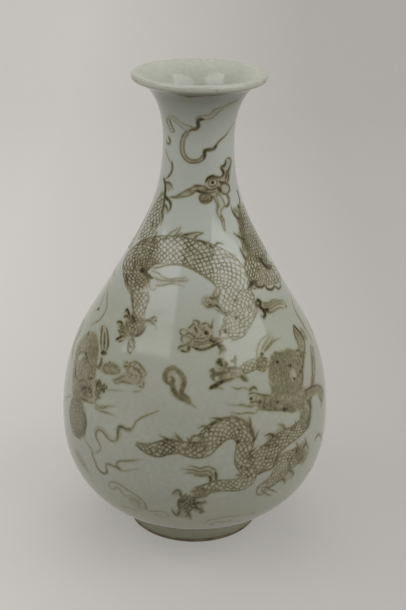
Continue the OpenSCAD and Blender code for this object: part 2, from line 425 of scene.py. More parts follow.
def filled(outline):
    """Lattice patch, and its cells, inside a closed flowing outline of photograph pixels."""
    edge = on_vase(smooth(list(outline) + [outline[0]], 2.5)[0])
    low, high = np.floor(edge.min(0)).astype(int), np.ceil(edge.max(0)).astype(int) + 1
    across, up = np.arange(low[0], high[0]), np.arange(max(low[1], 0), min(high[1], rows + 1))
    inside = np.zeros((len(up), len(across)), bool)
    for a, b in zip(edge[:-1], edge[1:]):
        if a[1] == b[1]:
            continue
        crosses = (up >= min(a[1], b[1])) & (up < max(a[1], b[1]))
        where = a[0] + (up - a[1]) / (b[1] - a[1]) * (b[0] - a[0])
        inside ^= crosses[:, None] & (across[None, :] < where[:, None])
    return np.ix_(up, across % columns), inside


def wash(tone, **outlines):
    """Thin washes of pigment inside outlines of photograph pixels."""
    for outline in outlines.values():
        patch, inside = filled(outline)
        washes[patch] = np.maximum(washes[patch], inside * np.float32(tone))


def pale(**outlines):
    """Spots inside outlines of photograph pixels where the pigment was left out or wiped away."""
    for outline in outlines.values():
        patch, inside = filled(outline)
        for layer in (washes, brush_marks):
            layer[patch] = np.where(inside, layer[patch] * wiped_share, layer[patch])


def dabs(width, tone, count, way=(1.1, 1.1), **outlines):
    """Many small dabs inside outlines of photograph pixels, as in a mane or a clawed foot."""
    for outline in outlines.values():
        corner = np.asarray(outline, float)
        after = np.roll(corner, -1, axis=0)
        left = count
        while left:
            x, y = hand.uniform(corner.min(0), corner.max(0))
            crosses = (corner[:, 1] > y) != (after[:, 1] > y)
            slope = (after[:, 0] - corner[:, 0]) / np.where(crosses, after[:, 1] - corner[:, 1], 1)
            if (crosses & (x < corner[:, 0] + slope * (y - corner[:, 1]))).sum() % 2:
                sweep = hand.normal(0, way)
                bend = hand.normal(0, hand_shake, 2)
                brush(width * hand.uniform(0.7, 1.3), tone * hand.uniform(0.5, 1.1), press=0.3, lift=0.5,
                      dab=[(x, y) - sweep, (x, y) + bend, (x, y) + sweep])
                left -= 1


def leaf(fill, tone, width, **outlines):
    """Closed shapes such as flames, fins and ribbons: a wash inside a brush line."""
    for outline in outlines.values():
        wash(fill, shape=outline)
        brush(width, tone, 0, 0, edge=outline + outline[:1])


def hairs(width, tone, count, **manes):
    """Strands of a mane between its first line and its last, none quite like the next."""
    for first, last in manes.values():
        for share in np.linspace(0, 1, count):
            between = np.add(first, share * np.subtract(last, first))
            strand = between + hand.normal(0, 1.0, np.shape(first))
            brush(width * hand.uniform(0.7, 1.2), tone * hand.uniform(0.55, 1.1), press=0.3, lift=0.6,
                  strand=strand)


strip_lanes = 8  # parts that a long body is cut into from side to side


def body_strip(spine):
    """Lattice points of a long body, along its spine and across it from right to left, with its
    lengths, its widths and its darkness. A spine has points of (x, y, half width, darkness)."""
    spine = np.asarray(spine, float)
    centre, share = smooth(spine[:, :2])
    half, dark = (np.interp(share, np.arange(len(spine)), spine[:, k]) for k in (2, 3))
    way = np.gradient(centre, axis=0)
    way /= np.linalg.norm(way, axis=1)[:, None]
    left = np.column_stack([way[:, 1], -way[:, 0]])
    sides = np.linspace(-1, 1, strip_lanes + 1)
    pixels = centre[:, None] + left[:, None] * half[:, None, None] * sides[:, None]
    strip = on_vase(pixels.reshape(-1, 2)).reshape(len(centre), len(sides), 2)
    middle = strip[:, strip_lanes // 2]
    unit = turn_step * np.interp(middle[:, 1], np.arange(rows + 1), row_radius)
    along = np.concatenate([[0], np.cumsum(np.linalg.norm(np.diff(middle, axis=0), axis=1) * unit[1:])])
    width = np.linalg.norm(strip[:, -1] - strip[:, 0], axis=1) * unit
    return strip, along, width, dark


scale_arc = np.radians(np.linspace(-80, 80, 6))
row_pitch = 0.8  # from one row of scales to the next, and across a scale, by the scale's length
scale_breadth = 1.25


def scaly_body(scale, edge, **spines):
    """Scaly bodies: a thin wash, two edge lines, and rows of scales like roof tiles. The wash and the
    lines follow the darkness along each spine."""
    for spine in spines.values():
        strip, along, width, dark = body_strip(spine)
        for line, depth in zip(strip, dark):
            lay(washes, line, 0.5, 0.02 + 0.3 * depth ** 2, 0.8)
        for side in (0, -1):
            lay(brush_marks, strip[:, side], 0.4, edge * (0.5 + 0.5 * dark), 0.7)
        for k in range(int(along[-1] / (row_pitch * scale))):
            start = k * row_pitch * scale
            depth = np.interp(start, along, dark)
            count = max(2, round(np.interp(start, along, width) / (scale_breadth * scale)))
            for j in range(count + k % 2):
                middle = (2 * j + 1 - k % 2 + hand.uniform(-0.2, 0.2)) / count - 1
                spread = hand.uniform(0.85, 1.1)
                ahead = start + scale * spread * np.cos(scale_arc)
                reach = np.interp(ahead, along, np.arange(len(along)))
                across = np.clip(middle + spread * np.sin(scale_arc) / count, -1, 1)
                side = np.clip((across + 1) * strip_lanes / 2, 0, strip_lanes - 0.001)
                i, m = np.minimum(reach.astype(int), len(along) - 2), side.astype(int)
                u, v = (reach - i)[:, None], (side - m)[:, None]
                path = ((strip[i, m] * (1 - v) + strip[i, m + 1] * v) * (1 - u)
                        + (strip[i + 1, m] * (1 - v) + strip[i + 1, m + 1] * v) * u)
                tone = (0.54 + 0.4 * depth) * hand.uniform(0.75, 1.15)
                lay(brush_marks, path, 0.22 + 0.14 * depth, tone, 0.6)


# Flaming comma in the middle of the belly
wash(0.36, lobe=[(169.5, 385), (173, 384), (177, 391), (180, 398), (176, 397), (170.5, 394)],
     tail=[(178, 396), (186, 396.5), (190, 401), (191, 405), (184, 402)])
wash(0.3,
     flame=[(164, 380), (165, 371), (172, 367), (180, 371), (186, 380), (183.5, 393), (191, 401),
            (191, 406), (180, 400), (170, 393), (169.5, 386)])
pale(hollow=[(173, 373.5), (176.5, 374.5), (179, 380), (179.5, 388), (178.3, 392), (176, 384)])
brush(3.2, 0.55, 0.1, 0.25,
      hook=[(170.5, 385), (166.3, 381.5), (164.8, 376), (166.5, 371), (170, 368.5), (173.5, 367.8),
            (177, 370), (180.5, 373), (183.5, 377.5), (184.3, 383), (182.5, 388.5), (181.5, 393),
            (185.5, 396), (189, 399), (190.5, 403), (196, 407.5)])
brush(2.8, 0.5, 0.15, 0.3,
      tongue=[(171.3, 377.3), (173.5, 379.5), (172.2, 384), (173.5, 389), (175.5, 393), (178, 397),
              (182, 399.5), (186.5, 401.5), (191, 405)])
brush(2.2, 0.6, 0.3, 0.3, hook_dark=[(165.5, 379), (165.3, 375), (167.3, 371)],
      side_dark=[(182.8, 377), (184, 382), (182.6, 388)])
comma_layers = [layer.copy() for layer in (brush_marks, washes)]

# Wavy cloud tails on the left of the belly
brush(1.7, 0.56, 0.3, 0.2,
      tail_upper=[(158, 411), (150, 414), (143, 417), (137, 421), (133, 427), (130, 430), (126, 428.5),
                  (121, 426), (118, 428), (117.5, 434), (117.5, 439), (114, 441), (110, 440), (107, 437),
                  (104, 433), (101, 430.5), (98, 430), (96, 433), (96, 437), (98, 441), (100, 445),
                  (100.5, 449), (98, 452), (94, 453)],
      tail_lower=[(84, 438), (88, 445), (92, 450), (92.5, 455), (95, 461), (97, 467), (100, 471),
                  (104, 473.5), (107, 472), (106, 467), (107, 464), (111, 465), (116, 467.3), (121, 470.3),
                  (126, 471), (131, 470), (138, 469)],
      tail_branch=[(116, 467), (117, 463), (120, 461), (127, 461), (134, 460.3), (142, 459.5)])
brush(0.8, 0.35,
      tail_upper_edge=[(94.5, 434), (95, 429.5), (98, 427), (103, 429), (107, 433.5), (111, 437),
                       (115, 437.5)],
      tail_upper_low=[(134, 430.5), (127, 431.5), (121.5, 430), (120.5, 436), (118.5, 441.5)],
      edge_pair=[(75, 450), (79, 457), (84, 466), (91, 477)],
      edge_pair_right=[(77, 449), (82, 457), (86, 465), (92, 475)])
wash(0.24, edge_shade=[(74, 447), (79, 453), (85, 464), (91, 476), (84, 468), (77, 457)])
brush(2.1, 0.72, 0.3, 0.3,
      tail_dark=[(132, 428.5), (126, 428.7), (121, 426.5), (118.3, 429), (118, 434.5), (116.5, 440),
                 (111, 440.5)],
      branch_dark=[(114, 466), (117.5, 467.5), (122, 470.3)])
# The ground between the dragons on both sides of the vase holds a comma and a cloud tail too
comma_turn = round(columns * 103 / 360)
tail_turn = round(columns * 128 / 360)
tail_drop = 45  # rows
side_layers = [np.maximum(np.roll(comma, comma_turn, axis=1),
                          np.roll(layer - comma, (-tail_drop, tail_turn), axis=(0, 1)))
               for layer, comma in zip((brush_marks, washes), comma_layers)]

# Ribbon cloud that winds round the neck
leaf(0.2, 0.5, 0.8,
     cloud_tail=[(239, 99.5), (230, 103), (224, 106.5), (219, 108), (215, 109.5), (212, 112), (209, 115),
                 (203, 115.5), (197, 117.5), (197, 120), (202, 120), (208, 119.5), (213, 117.5), (217, 114),
                 (222, 109.5)])
leaf(0.32, 0.66, 0.9,
     cloud_loop=[(187, 131), (183, 135), (181, 141), (180.3, 147), (181, 153), (184, 158.5), (188, 162),
                 (193, 163), (198, 162.5), (203, 160), (204.5, 156), (202.5, 155), (200, 158.5), (196, 160),
                 (191, 159.5), (187, 157), (184.5, 152), (184, 146), (185, 139), (188, 134)])
leaf(0.12, 0.42, 0.8,
     cloud_left=[(193, 127), (189, 126), (184, 124), (180, 121.5), (176, 118), (172, 116), (168, 116.5),
                 (167.5, 119), (171, 118.5), (174, 121), (178, 124), (182, 127.5), (187, 131)])
brush(2.3, 0.95, lift=0.25,
      cloud_knot=[(204, 119.5), (200, 119.5), (197.8, 122), (198.3, 126), (196, 128.8), (192, 129.5),
                  (189, 132)],
      loop_joint=[(204, 159), (204.5, 154.5), (205, 151), (209, 149.7), (213, 149), (216, 146),
                  (217.5, 143.5)])
brush(1.3, 0.65, 0.05, 0.8,
      joint_tail=[(216, 146), (218, 142.5), (221, 139.5), (225, 136), (228, 132), (231, 127), (235, 122)],
      left_curl=[(169, 118), (170, 121), (171.5, 125), (172.5, 128), (174, 130), (173, 132), (170.5, 131),
                 (169.5, 128), (170, 125)],
      left_curl_inner=[(166.5, 119), (167.5, 123), (169, 127), (171, 129)])
brush(1.5, 0.75,
      edge_dab=[(168, 136), (170, 140), (169.5, 143.5), (167, 143), (166.5, 139)],
      edge_line_end=[(172, 162), (172.3, 168), (171, 173), (168.5, 176.5), (165.5, 179)])
brush(0.9, 0.5, edge_line=[(166, 150), (168, 157), (171, 163), (172, 168)])

# Brown lines, small chips and a speck at the lip
brush(0.9, 0.42, 0.2, 0.2,
      lip_brown=[(151, 89.3), (158, 91.3), (166, 93), (176, 94.4), (188, 95.2), (202, 95.4), (216, 95),
                 (228, 94), (238, 92.6), (247, 90.3)])
brush(1.5, 0.45, 0.3, 0.3,
      line_under_lip=[(158, 90.5), (165, 92.5), (177, 94.6), (188, 96), (198, 96.2), (210, 95.5), (222, 95),
                      (232, 94), (241, 92)])
# A darker patch in the middle of the line under the lip
brush(2.0, 0.6, 0.3, 0.3, lip_pool=[(184, 96), (190, 96.8), (197, 96.6)])
brush(0.9, 0.75, 0.2, 0.5,
      lip_chip=[(135.3, 75), (136.5, 77), (137.6, 78.4)],
      far_chip=[(263.5, 79.8), (265, 78.8)])
dots(0.8, 0.6, lip_speck=(216.7, 89.7))

# Body that comes round the left of the neck, with flames on its back
scaly_body(3.0, 0.5,
           left_neck=[(164, 192, 2, 0.7), (160, 204, 5, 0.65), (155, 217, 6.5, 0.6), (149, 229, 6, 0.4),
                      (142, 241, 5, 0.4)])
brush(2.0, 0.95, 0.05, 0.3,
      back_edge=[(163.5, 178), (165, 183), (165.3, 190), (164.8, 197), (163.8, 203), (162.8, 209),
                 (161, 214)],
      flame_hook=[(164.5, 195), (167, 198.5), (169.8, 201.5), (170.8, 205.5), (169.8, 210.5)])
brush(1.3, 0.8, 0.05, 0.5,
      flame_high=[(164.8, 183), (168, 182.3), (171, 184.5), (172.8, 189.5)],
      flame_low=[(161, 210), (162.8, 214), (162.6, 219), (160.5, 224.5)],
      flame_last=[(153, 221), (152.3, 226), (149.5, 233)],
      flame_middle=[(163.5, 203), (166.5, 206.5), (168.3, 212)])
wash(0.3,
     flame_shade=[(166, 184), (170, 183), (171, 189), (168, 192)],
     hook_shade=[(164, 206), (169, 208), (168, 214), (163, 213)])

# Head of the upper dragon, which faces left across the base of the neck
leaf(0.42, 0.6, 0.9,
     snout=[(169, 197.3), (176, 196.3), (180, 194), (185, 191), (191, 188), (194, 186), (198, 185.5),
            (203, 186), (206, 187.5), (206, 191), (202, 191.8), (198, 191), (194, 192.5), (191, 195),
            (186, 196.5), (181, 197.3), (176, 198)])
leaf(0.46, 0.68, 1.1,
     jaw_curl=[(205, 193.3), (201, 194.8), (199.5, 198.5), (201.5, 202), (206, 203.3), (210, 201.5),
               (212.5, 198), (210, 195)])
leaf(0.2, 0.75, 1.2,
     ear_coil=[(220.5, 186), (222.5, 183.5), (226, 183.5), (229, 186), (229.5, 190), (227, 193.8),
               (223.5, 193.5), (221, 190)])
leaf(0.16, 0.5, 1.0,
     beard=[(216, 195), (217.5, 201), (218.5, 206), (217, 211), (218.5, 216), (221.5, 220), (222.5, 225),
            (225, 231), (224.5, 225), (223.5, 219), (221, 214), (221.5, 210), (224.5, 205), (222.5, 199),
            (219, 194.5)])
wash(0.27,
     horn_shade=[(221, 178), (222, 168), (225, 160), (231, 158), (231, 170), (229, 183), (224, 183)],
     cheek_shade=[(203, 186), (208, 178), (218, 176), (228, 181), (230, 192), (222, 196), (210, 197),
                  (203, 193)])
brush(1.2, 0.5, beard_side=[(213.5, 196), (215.5, 201), (217, 205), (216, 211)])
brush(2.1, 0.6, 0.1, 0.3, whisker=[(226.5, 194), (228.8, 199), (228.5, 204), (226, 206.5), (224, 206)])
brush(1.9, 0.95, 0.2, 0.3,
      brow=[(205.8, 182), (208, 178.6), (212.5, 176.3), (216.5, 177.3), (220.5, 177.5), (222.5, 174.5)],
      horn_left=[(222, 177), (223.8, 173), (221.8, 169), (221.5, 167), (224.3, 165.5), (225.8, 162),
                 (225.5, 160)],
      eye_back=[(219, 181), (222, 183), (226, 181.5)],
      cheek_back=[(217.5, 186.5), (219.5, 189.5), (222, 193)])
brush(1.5, 0.85, 0.2, 0.3,
      horn_right=[(227.5, 182), (228.5, 177), (228, 172), (229.8, 167), (231, 162), (230, 158.3),
                  (227, 158.2)],
      horn_middle=[(225.5, 180), (226, 176), (226.5, 171.5), (228.3, 169)],
      under_eye=[(204.5, 186.5), (207.5, 189.3), (211.5, 190), (215, 188.8), (218, 186.5)],
      nostril=[(194.5, 191.5), (197.5, 190.8), (201, 192.3), (205, 192.8), (210, 193), (215, 191.8)],
      snout_top=[(193.5, 186.3), (198, 185.8), (203, 186.3)],
      jaw_shade=[(203, 200), (206, 201.5), (209, 200)])
dabs(0.8, 0.8, 6, cheek_dabs=[(206, 187), (214, 190), (219, 189), (222, 194), (214, 195), (206, 193)],
     jaw_dabs=[(201, 196), (210, 196), (211, 201), (204, 203)])
brush(0.9, 0.75, 0, 0,
      eye_ring=[(208.6, 183.5), (209.6, 180.2), (212.8, 178.9), (216.3, 180.2), (217, 183.4), (214, 186),
                (210.3, 186), (208.6, 183.5)])
pale(eye_white=[(209.5, 183.3), (210.3, 180.6), (212.8, 179.6), (215.6, 180.7), (216.2, 183.2),
                (213.8, 185.3), (210.8, 185.3)])
dots(2.3, 1.0, pupil=(212.7, 182.3))
dots(1.4, 0.85, jaw_dot=(212.3, 197.5), beard_dot=(221, 215.2))

# Body of the upper dragon, down the right of the neck to its haunch
wash(0.42,
     neck_shade=[(233, 208), (238, 207), (243, 217), (246, 230), (249, 243), (252, 258), (246, 260),
                 (242.5, 251), (240.5, 241), (237.5, 236), (238.5, 228), (235, 216)])
dabs(1.1, 0.6, 12,
     fringe_dabs=[(236, 210), (241, 214), (245, 230), (248, 246), (250, 257), (246, 257), (241, 238),
                  (238, 224)])
scaly_body(2.8, 0.75,
           right_neck=[(241, 204, 2.5, 0.55), (244.5, 217, 5.5, 0.68), (248, 231, 7.5, 0.78),
                       (253.5, 243, 8.5, 0.85), (257, 254, 9.5, 0.8), (256, 262, 10.5, 0.7)])
scaly_body(2.9, 0.0,
           haunch=[(254.5, 256, 10, 0.7), (257.5, 266, 13, 0.7), (263, 277, 17, 0.7),
                   (265.5, 286, 15.5, 0.7)])
brush(1.6, 0.85, 0.1, 0.3,
      neck_line=[(237, 190), (238.8, 196), (239.8, 202), (239.2, 206)],
      neck_right_edge=[(255, 240), (259, 246), (262, 252), (264.3, 259)])
brush(2.1, 0.85, 0, 1.0,
      fin_first=[(239.5, 219.5), (235.5, 216), (232.5, 211), (231.2, 207)],
      fin_second=[(245, 239.5), (241, 237.8), (237.5, 236), (234, 233.2)],
      fin_third=[(246, 259.5), (243.8, 256), (241.8, 252), (240, 248)])
dots(2.6, 1.0, neck_knot=(239, 206))
brush(3.6, 1.0, 0.1, 0.2, knee=[(260, 258), (262.5, 262.5), (266, 266.5), (270, 267.5), (271.5, 265)])
brush(1.7, 0.95, 0.1, 0.2,
      haunch_hem=[(255, 283), (257, 286.3), (261.5, 287.3), (264.5, 285.3), (267.5, 288.8), (272, 289.3),
                  (274.8, 286.3), (278, 288.7), (281, 286.3), (280.5, 282)],
      haunch_root=[(248, 290), (249, 286), (251, 283), (254.5, 281.3)])
brush(2.9, 1.0, 0.1, 0.2, haunch_root_dark=[(249, 287.5), (251.5, 283.5), (255, 281.8), (257, 283)])
brush(1.0, 0.75, haunch_edge=[(271, 267), (275, 273), (278.5, 280), (280.5, 286)])
brush(0.9, 0.6,
      haunch_fold=[(262, 268), (266, 275), (271, 283)],
      haunch_fold_right=[(268, 270), (272, 277), (276, 284)],
      haunch_fold_left=[(256, 267), (260, 275), (264, 283)])

# Shoulder dragon, which arches across the front below the neck
# The darkness dips twice along the arch, where the scales are painted paler as a painted highlight
scaly_body(2.75, 0.45,
           shoulder=[(139, 291, 9, 0.8), (135, 279, 10.5, 0.95), (137, 263, 13.5, 1.0),
                     (151, 251.5, 13.5, 0.85), (169, 250, 14.5, 0.4), (187, 252.5, 14, 0.7),
                     (205, 258.5, 16, 0.65), (223, 269, 17, 0.45), (232.5, 282, 17, 0.45),
                     (233.5, 293, 17.5, 0.5), (237, 303, 18.5, 0.55), (240, 311, 16, 0.58),
                     (238.5, 319, 14, 0.6), (233.5, 328, 13, 0.58), (226, 335.5, 8, 0.55)])
scaly_body(2.5, 0.6, leg=[(138, 324, 6, 0.6), (139, 311, 6, 0.6), (139.5, 301, 8, 0.65), (139, 291, 9, 0.7)])
brush(1.9, 0.8, 0.2, 0.5, leg_left=[(131, 287), (132.3, 294), (132.5, 301), (133, 308), (134.5, 314)])
brush(1.0, 0.6,
      leg_right=[(148.5, 293), (149, 299), (147, 304.5), (144.5, 309), (144, 316)],
      arch_under=[(152, 268.5), (158, 267.5), (168, 265), (178, 264), (188, 266), (195, 269.3), (203, 275),
                  (210, 280.5), (219, 284.5)])
brush(1.5, 0.85, 0.1, 0.4,
      arch_top_dark=[(195.5, 240.5), (200, 241), (205, 243.2), (207, 247)],
      arch_top_second=[(209, 245.3), (212, 247), (214.5, 250)],
      left_bulge=[(126, 274), (127, 280), (128, 285), (131, 290)])
brush(2.0, 0.85, 0, 1.0,
      crest_left=[(154, 242), (154.6, 238), (156, 232.5)],
      crest_middle=[(165.5, 239), (166.5, 237), (169, 234.5)])
brush(1.5, 0.6, 0, 1.0,
      crest_far_left=[(142.5, 245.5), (144, 241), (146.5, 238)],
      crest_second=[(149, 243.5), (149.8, 240), (151.5, 237)],
      crest_right=[(176.5, 237.5), (178.5, 235), (182, 233)])
dabs(1.3, 0.95, 16, bulge_knots=[(132, 262), (138, 252), (150, 246), (153, 256), (149, 268), (136, 270)])
dabs(1.0, 0.85, 20,
     bulge_dabs=[(124, 272), (126, 262), (134, 252), (146, 247), (156, 246), (152, 262), (146, 272),
                 (146, 290), (133, 292)])
dabs(1.0, 0.75, 12, arch_dabs=[(176, 241), (190, 240), (208, 248), (212, 262), (200, 266), (184, 262)])
brush(1.7, 0.75, 0, 1.0,
      fin_first=[(142, 247), (143, 243), (146, 238)],
      fin_second=[(151.5, 243), (153.5, 238), (157.3, 232)],
      fin_tuft=[(163, 239.5), (165.5, 238.3), (168.5, 235)])
wash(0.34,
     fin_shade=[(139, 247), (142, 240), (146, 240), (150, 243), (152, 239), (157, 238), (160, 243),
                (150, 247)],
     fin_long_shade=[(180, 239), (186, 234.5), (195, 233), (198, 236), (196, 240)])
wash(0.16, fin_pale_shade=[(166, 238), (172, 232), (181, 227), (179, 233), (174, 238)])
brush(1.0, 0.5, 0.1, 0.6,
      fin_third=[(166, 237.5), (170, 233.3), (174, 230.5), (181, 226.8)],
      fin_third_low=[(172, 238), (175, 235.5), (178.5, 231.5), (180.5, 228)],
      fin_between=[(176, 237.5), (179, 235.5), (182, 234)],
      fin_small=[(204, 245.5), (206, 242.5), (209, 241)],
      neck_bump=[(222, 257.5), (226, 255.5), (229, 257), (232, 255), (236, 255.5)])
brush(1.5, 0.75, 0.2, 0.6,
      fin_fourth=[(180, 237), (185, 234.8), (192, 233.2), (198, 232.4), (203, 233)],
      fin_fourth_low=[(194.5, 240), (195.5, 237), (198, 235.3), (203, 233.3)],
      fin_sixth=[(214.5, 247.5), (216, 244), (219, 243), (223.5, 244)])
wash(0.4,
     elbow=[(202.5, 303), (204.5, 298.5), (208, 296.8), (212, 297.3), (217, 297), (218, 302), (216, 306),
            (208, 307.5)])
wash(0.22, elbow_stain=[(200, 304), (203, 296), (212, 294.5), (219, 297), (219, 306), (209, 310)])
brush(0.9, 0.6, elbow_edge=[(216, 304.5), (212, 307), (207.5, 307), (204, 304)])
brush(1.7, 0.9, 0.15, 0.4,
      elbow_top=[(209.5, 297.7), (213, 298.3), (216, 297.8), (219, 295.5), (219.8, 292), (219.3, 288.5)],
      elbow_low=[(215, 305), (218.3, 306.8), (221, 309.5), (223.5, 311.5)])
brush(2.0, 0.5, 0.1, 0.8, elbow_spike=[(213, 297), (214.3, 292.5), (216.3, 288.3)])
brush(0.9, 0.55,
      belly_line=[(215.5, 309), (220, 312), (224.5, 315.5)],
      throat_line=[(226.5, 320), (224.5, 325), (222, 329), (219, 333)],
      flank_line=[(249, 292), (250, 297), (254, 302), (257, 309), (255.5, 316), (250, 323), (245, 331)])
brush(1.4, 0.8, flank_dark=[(249.3, 305), (248.6, 309)])
brush(1.1, 0.42,
      streamer_high=[(152, 271), (158, 273), (163, 277), (170, 279), (177, 278.3), (185, 277.3)],
      streamer_middle=[(153, 277.5), (160, 280), (169, 281), (178, 281), (188, 280.8)],
      streamer_low=[(155, 285), (162, 285.8), (169, 283.8), (176, 284), (184, 286.3)],
      streamer_curl=[(150, 281), (149.3, 285.5), (151, 289), (154, 289.5), (156.3, 287), (155, 284.3)])
wash(0.22,
     streamer_shade=[(157, 276), (164, 278), (172, 279), (187, 277.5), (188, 282), (176, 283.5), (162, 285),
                     (156, 281)],
     streamer_end=[(172, 278), (180, 277.5), (187, 278), (187, 282), (176, 283)])
brush(3.8, 1.0, 0.05, 0.2, left_knot=[(140.5, 269.5), (144, 271.5), (147.5, 275.5)])
brush(2.2, 0.9, 0.05, 0.4, left_knot_tail=[(148, 274.5), (150.5, 277.5), (154, 278)],
      left_knot_low=[(146.5, 276), (148, 280), (147.5, 284)])
brush(2.6, 1.0, 0.05, 0.3,
      right_knot=[(259.5, 306.5), (262, 308.5), (264, 311), (265, 314), (264, 317.5), (261.5, 316)],
      right_knot_ring=[(257, 300), (260, 301.5), (260, 305), (257, 305.5), (256, 302.5), (257.5, 300)],
      right_knot_tail=[(264, 311), (267.5, 309.5), (268, 313)])
wavy = [(0, 0), (4, 1), (8, 0), (11, -2.5), (15, -4), (19, -3.5), (22, -5)]
for root, lean in zip([(261, 302), (262.5, 305), (264, 308), (265, 311.5)], [0.1, 0.02, -0.02, 0.0]):
    streamer = [(root[0] + x, root[1] + y + lean * x) for x, y in wavy]
    brush(2.2, 0.36, 0.1, 0.5, streamer=streamer)
    brush(0.8, 0.68, 0.1, 0.4, streamer_edge=streamer)
dots(1.7, 0.95, arch_dot=(213.3, 254.5), streamer_dot=(286.5, 306), elbow_dot=(210, 305.3),
     back_dot=(235, 300.3))
dots(2.2, 1.0, nape_dot=(225, 331.3), flank_dot=(236, 318.5))

# Head of the shoulder dragon, which turns back to the left
wash(0.33,
     face=[(183, 331), (189, 327), (196, 322), (204, 324), (211, 326), (214, 333), (212, 343), (203, 348),
           (192, 347), (183, 344)],
     chin_shade=[(178, 349), (183, 345), (190, 346), (190, 352), (183, 351)])
wash(0.5, cheek_shade=[(209, 338), (217, 339), (220, 342), (213, 345.5), (209, 343)])
dabs(0.9, 0.7, 18,
     face_dabs=[(183, 333), (190, 328), (197, 323), (212, 327), (213, 340), (203, 347), (190, 346)])
brush(1.3, 0.75, 0.15, 0.3,
      nose_curl=[(187, 334), (183.5, 335.5), (180.5, 333.5), (180.5, 330.5), (184, 329.3), (187.5, 331)],
      nose_line=[(182, 336), (181.3, 340), (183.5, 343.5)],
      horn_low=[(188, 328.3), (191, 326), (193.3, 324.3), (193.3, 320.8)],
      horn_high=[(193.5, 320.6), (197, 321), (199.3, 323), (198, 326), (201.3, 328.5)],
      bridge=[(185, 335.5), (188, 333.3), (191.3, 334.2), (193.5, 336.5)],
      jaw_left=[(178.3, 349), (180, 346.3), (184, 345.5), (187, 344.5), (191, 345.3)],
      jaw_left_low=[(180.5, 350.5), (184.5, 351.5), (188.5, 352)],
      brow=[(201.5, 324.5), (205.5, 323), (209, 325), (208.5, 328.3)],
      nape_line=[(219, 330.5), (220.5, 333), (219.5, 336)])
brush(0.9, 0.6,
      muzzle_high=[(193, 337.3), (198, 338.8), (204, 338.3), (208.5, 336)],
      muzzle_middle=[(193.5, 341), (199, 342.3), (206, 341.3), (210, 338.5)],
      muzzle_low=[(192.5, 345), (197, 345.2), (203, 344.2), (208.5, 343)],
      cheek_ring=[(185, 338), (188, 336), (191, 338.5), (191, 342.5), (188, 344.5), (185.3, 342)])
brush(1.8, 0.88, 0.15, 0.35,
      lower_jaw=[(192, 346.5), (197, 349), (203, 349.8), (209, 347.8), (214, 345.3), (219, 343.2),
                 (223, 340.5)],
      snout_dark=[(194.5, 327.5), (196.5, 330.5), (196.3, 333.5)],
      chin=[(188.5, 346), (189, 349), (187.5, 351.5)],
      cheek=[(209.5, 339), (212.5, 341), (216.5, 342)],
      lip_dark=[(193.3, 335.5), (195.3, 337)])
brush(2.2, 0.85, 0, 0.9, ear=[(211, 328), (211.8, 325), (213, 320)])
brush(1.5, 0.75, 0.1, 0.5,
      tuft_left=[(217, 344.5), (220.3, 348), (221, 351), (219, 354.5)],
      tuft_right=[(219, 345), (223, 346.3), (226, 351.5)],
      tuft_low=[(221.5, 349), (224.5, 350.5)])
wash(0.34, tuft_shade=[(216, 343), (223, 343), (227, 350), (220, 354)])
brush(1.9, 0.4, 0.1, 0.6, nape_streamer=[(210, 337.3), (218, 338.8), (226, 338.3), (233, 337.5), (241, 336)])
dots(2.6, 1.0, eye=(206, 332.3))

# Claw at the end of the shoulder dragon's left leg
wash(0.3,
     palm=[(127, 322), (134, 316), (146, 320), (146, 327), (141, 334), (134, 337), (127, 333)],
     toe_high_shade=[(123.5, 317), (126, 309), (129.5, 311), (131, 321), (127, 321)],
     toe_left_shade=[(116.5, 321), (121, 320.5), (126, 325), (128, 330), (122, 332), (118, 328)],
     toe_low_shade=[(115.5, 339), (120, 335), (129, 333), (129, 338), (121, 342)],
     toe_right_shade=[(144, 320), (150, 318), (157, 317), (155, 325), (147, 324)],
     toe_down_shade=[(128, 338), (134, 337), (134.5, 347), (131, 353.5), (127, 350)])
scaly_body(2.2, 0.0, claw_pad=[(133, 336, 4, 0.6), (135, 329, 7.5, 0.65), (138, 320, 7, 0.6)])
dabs(1.2, 0.85, 24,
     palm_dabs=[(126, 322), (134, 316), (146, 321), (145, 328), (141, 334), (134, 337), (124, 336)],
     toe_dabs=[(116, 322), (122, 320), (128, 326), (129, 334), (121, 341), (116, 340), (121, 332)])
dabs(1.1, 0.8, 8,
     down_dabs=[(128, 338), (134, 337), (134, 348), (131, 353), (127, 350)],
     high_dabs=[(124, 317), (126, 309), (130, 312), (131, 321)],
     right_dabs=[(144, 321), (151, 318), (157, 318), (153, 325)])
brush(1.7, 0.9, 0.2, 0.4,
      toe_high=[(125.3, 311.5), (127, 309.5), (128.5, 312.5), (129.8, 316.5), (129, 320.5)],
      toe_high_side=[(123.8, 317), (126.5, 316), (129, 318.3)],
      toe_second=[(131.5, 315), (134, 319.5), (135.7, 323.8)],
      toe_left=[(117, 322), (120.3, 321.8), (122.3, 324.3), (121.5, 328)],
      toe_low=[(115.8, 340), (119, 338), (122.5, 336), (126, 334.5)],
      toe_right=[(144.5, 321.5), (148.5, 320), (151.3, 322), (154.3, 324.3)],
      toe_right_tip=[(151.5, 319.5), (153.8, 317), (157, 317.8)],
      pad_hem=[(134, 336.3), (139, 335), (143, 331), (146.3, 326)])
brush(1.2, 0.75,
      toe_down=[(129.5, 339), (128.3, 345), (128, 350.5), (130.3, 353), (132.3, 351.5)],
      toe_inner=[(126, 321.5), (127.3, 326), (128.8, 331)],
      toe_left_low=[(118, 330), (121, 332.5), (125, 332)],
      toe_low_side=[(118.5, 341.5), (123, 341)],
      toe_down_side=[(133.3, 338.5), (134.3, 343.5), (133.8, 348), (132, 350.5)])
brush(1.2, 0.35, toe_pale=[(154.5, 324.5), (156, 327), (155.5, 330.5)])

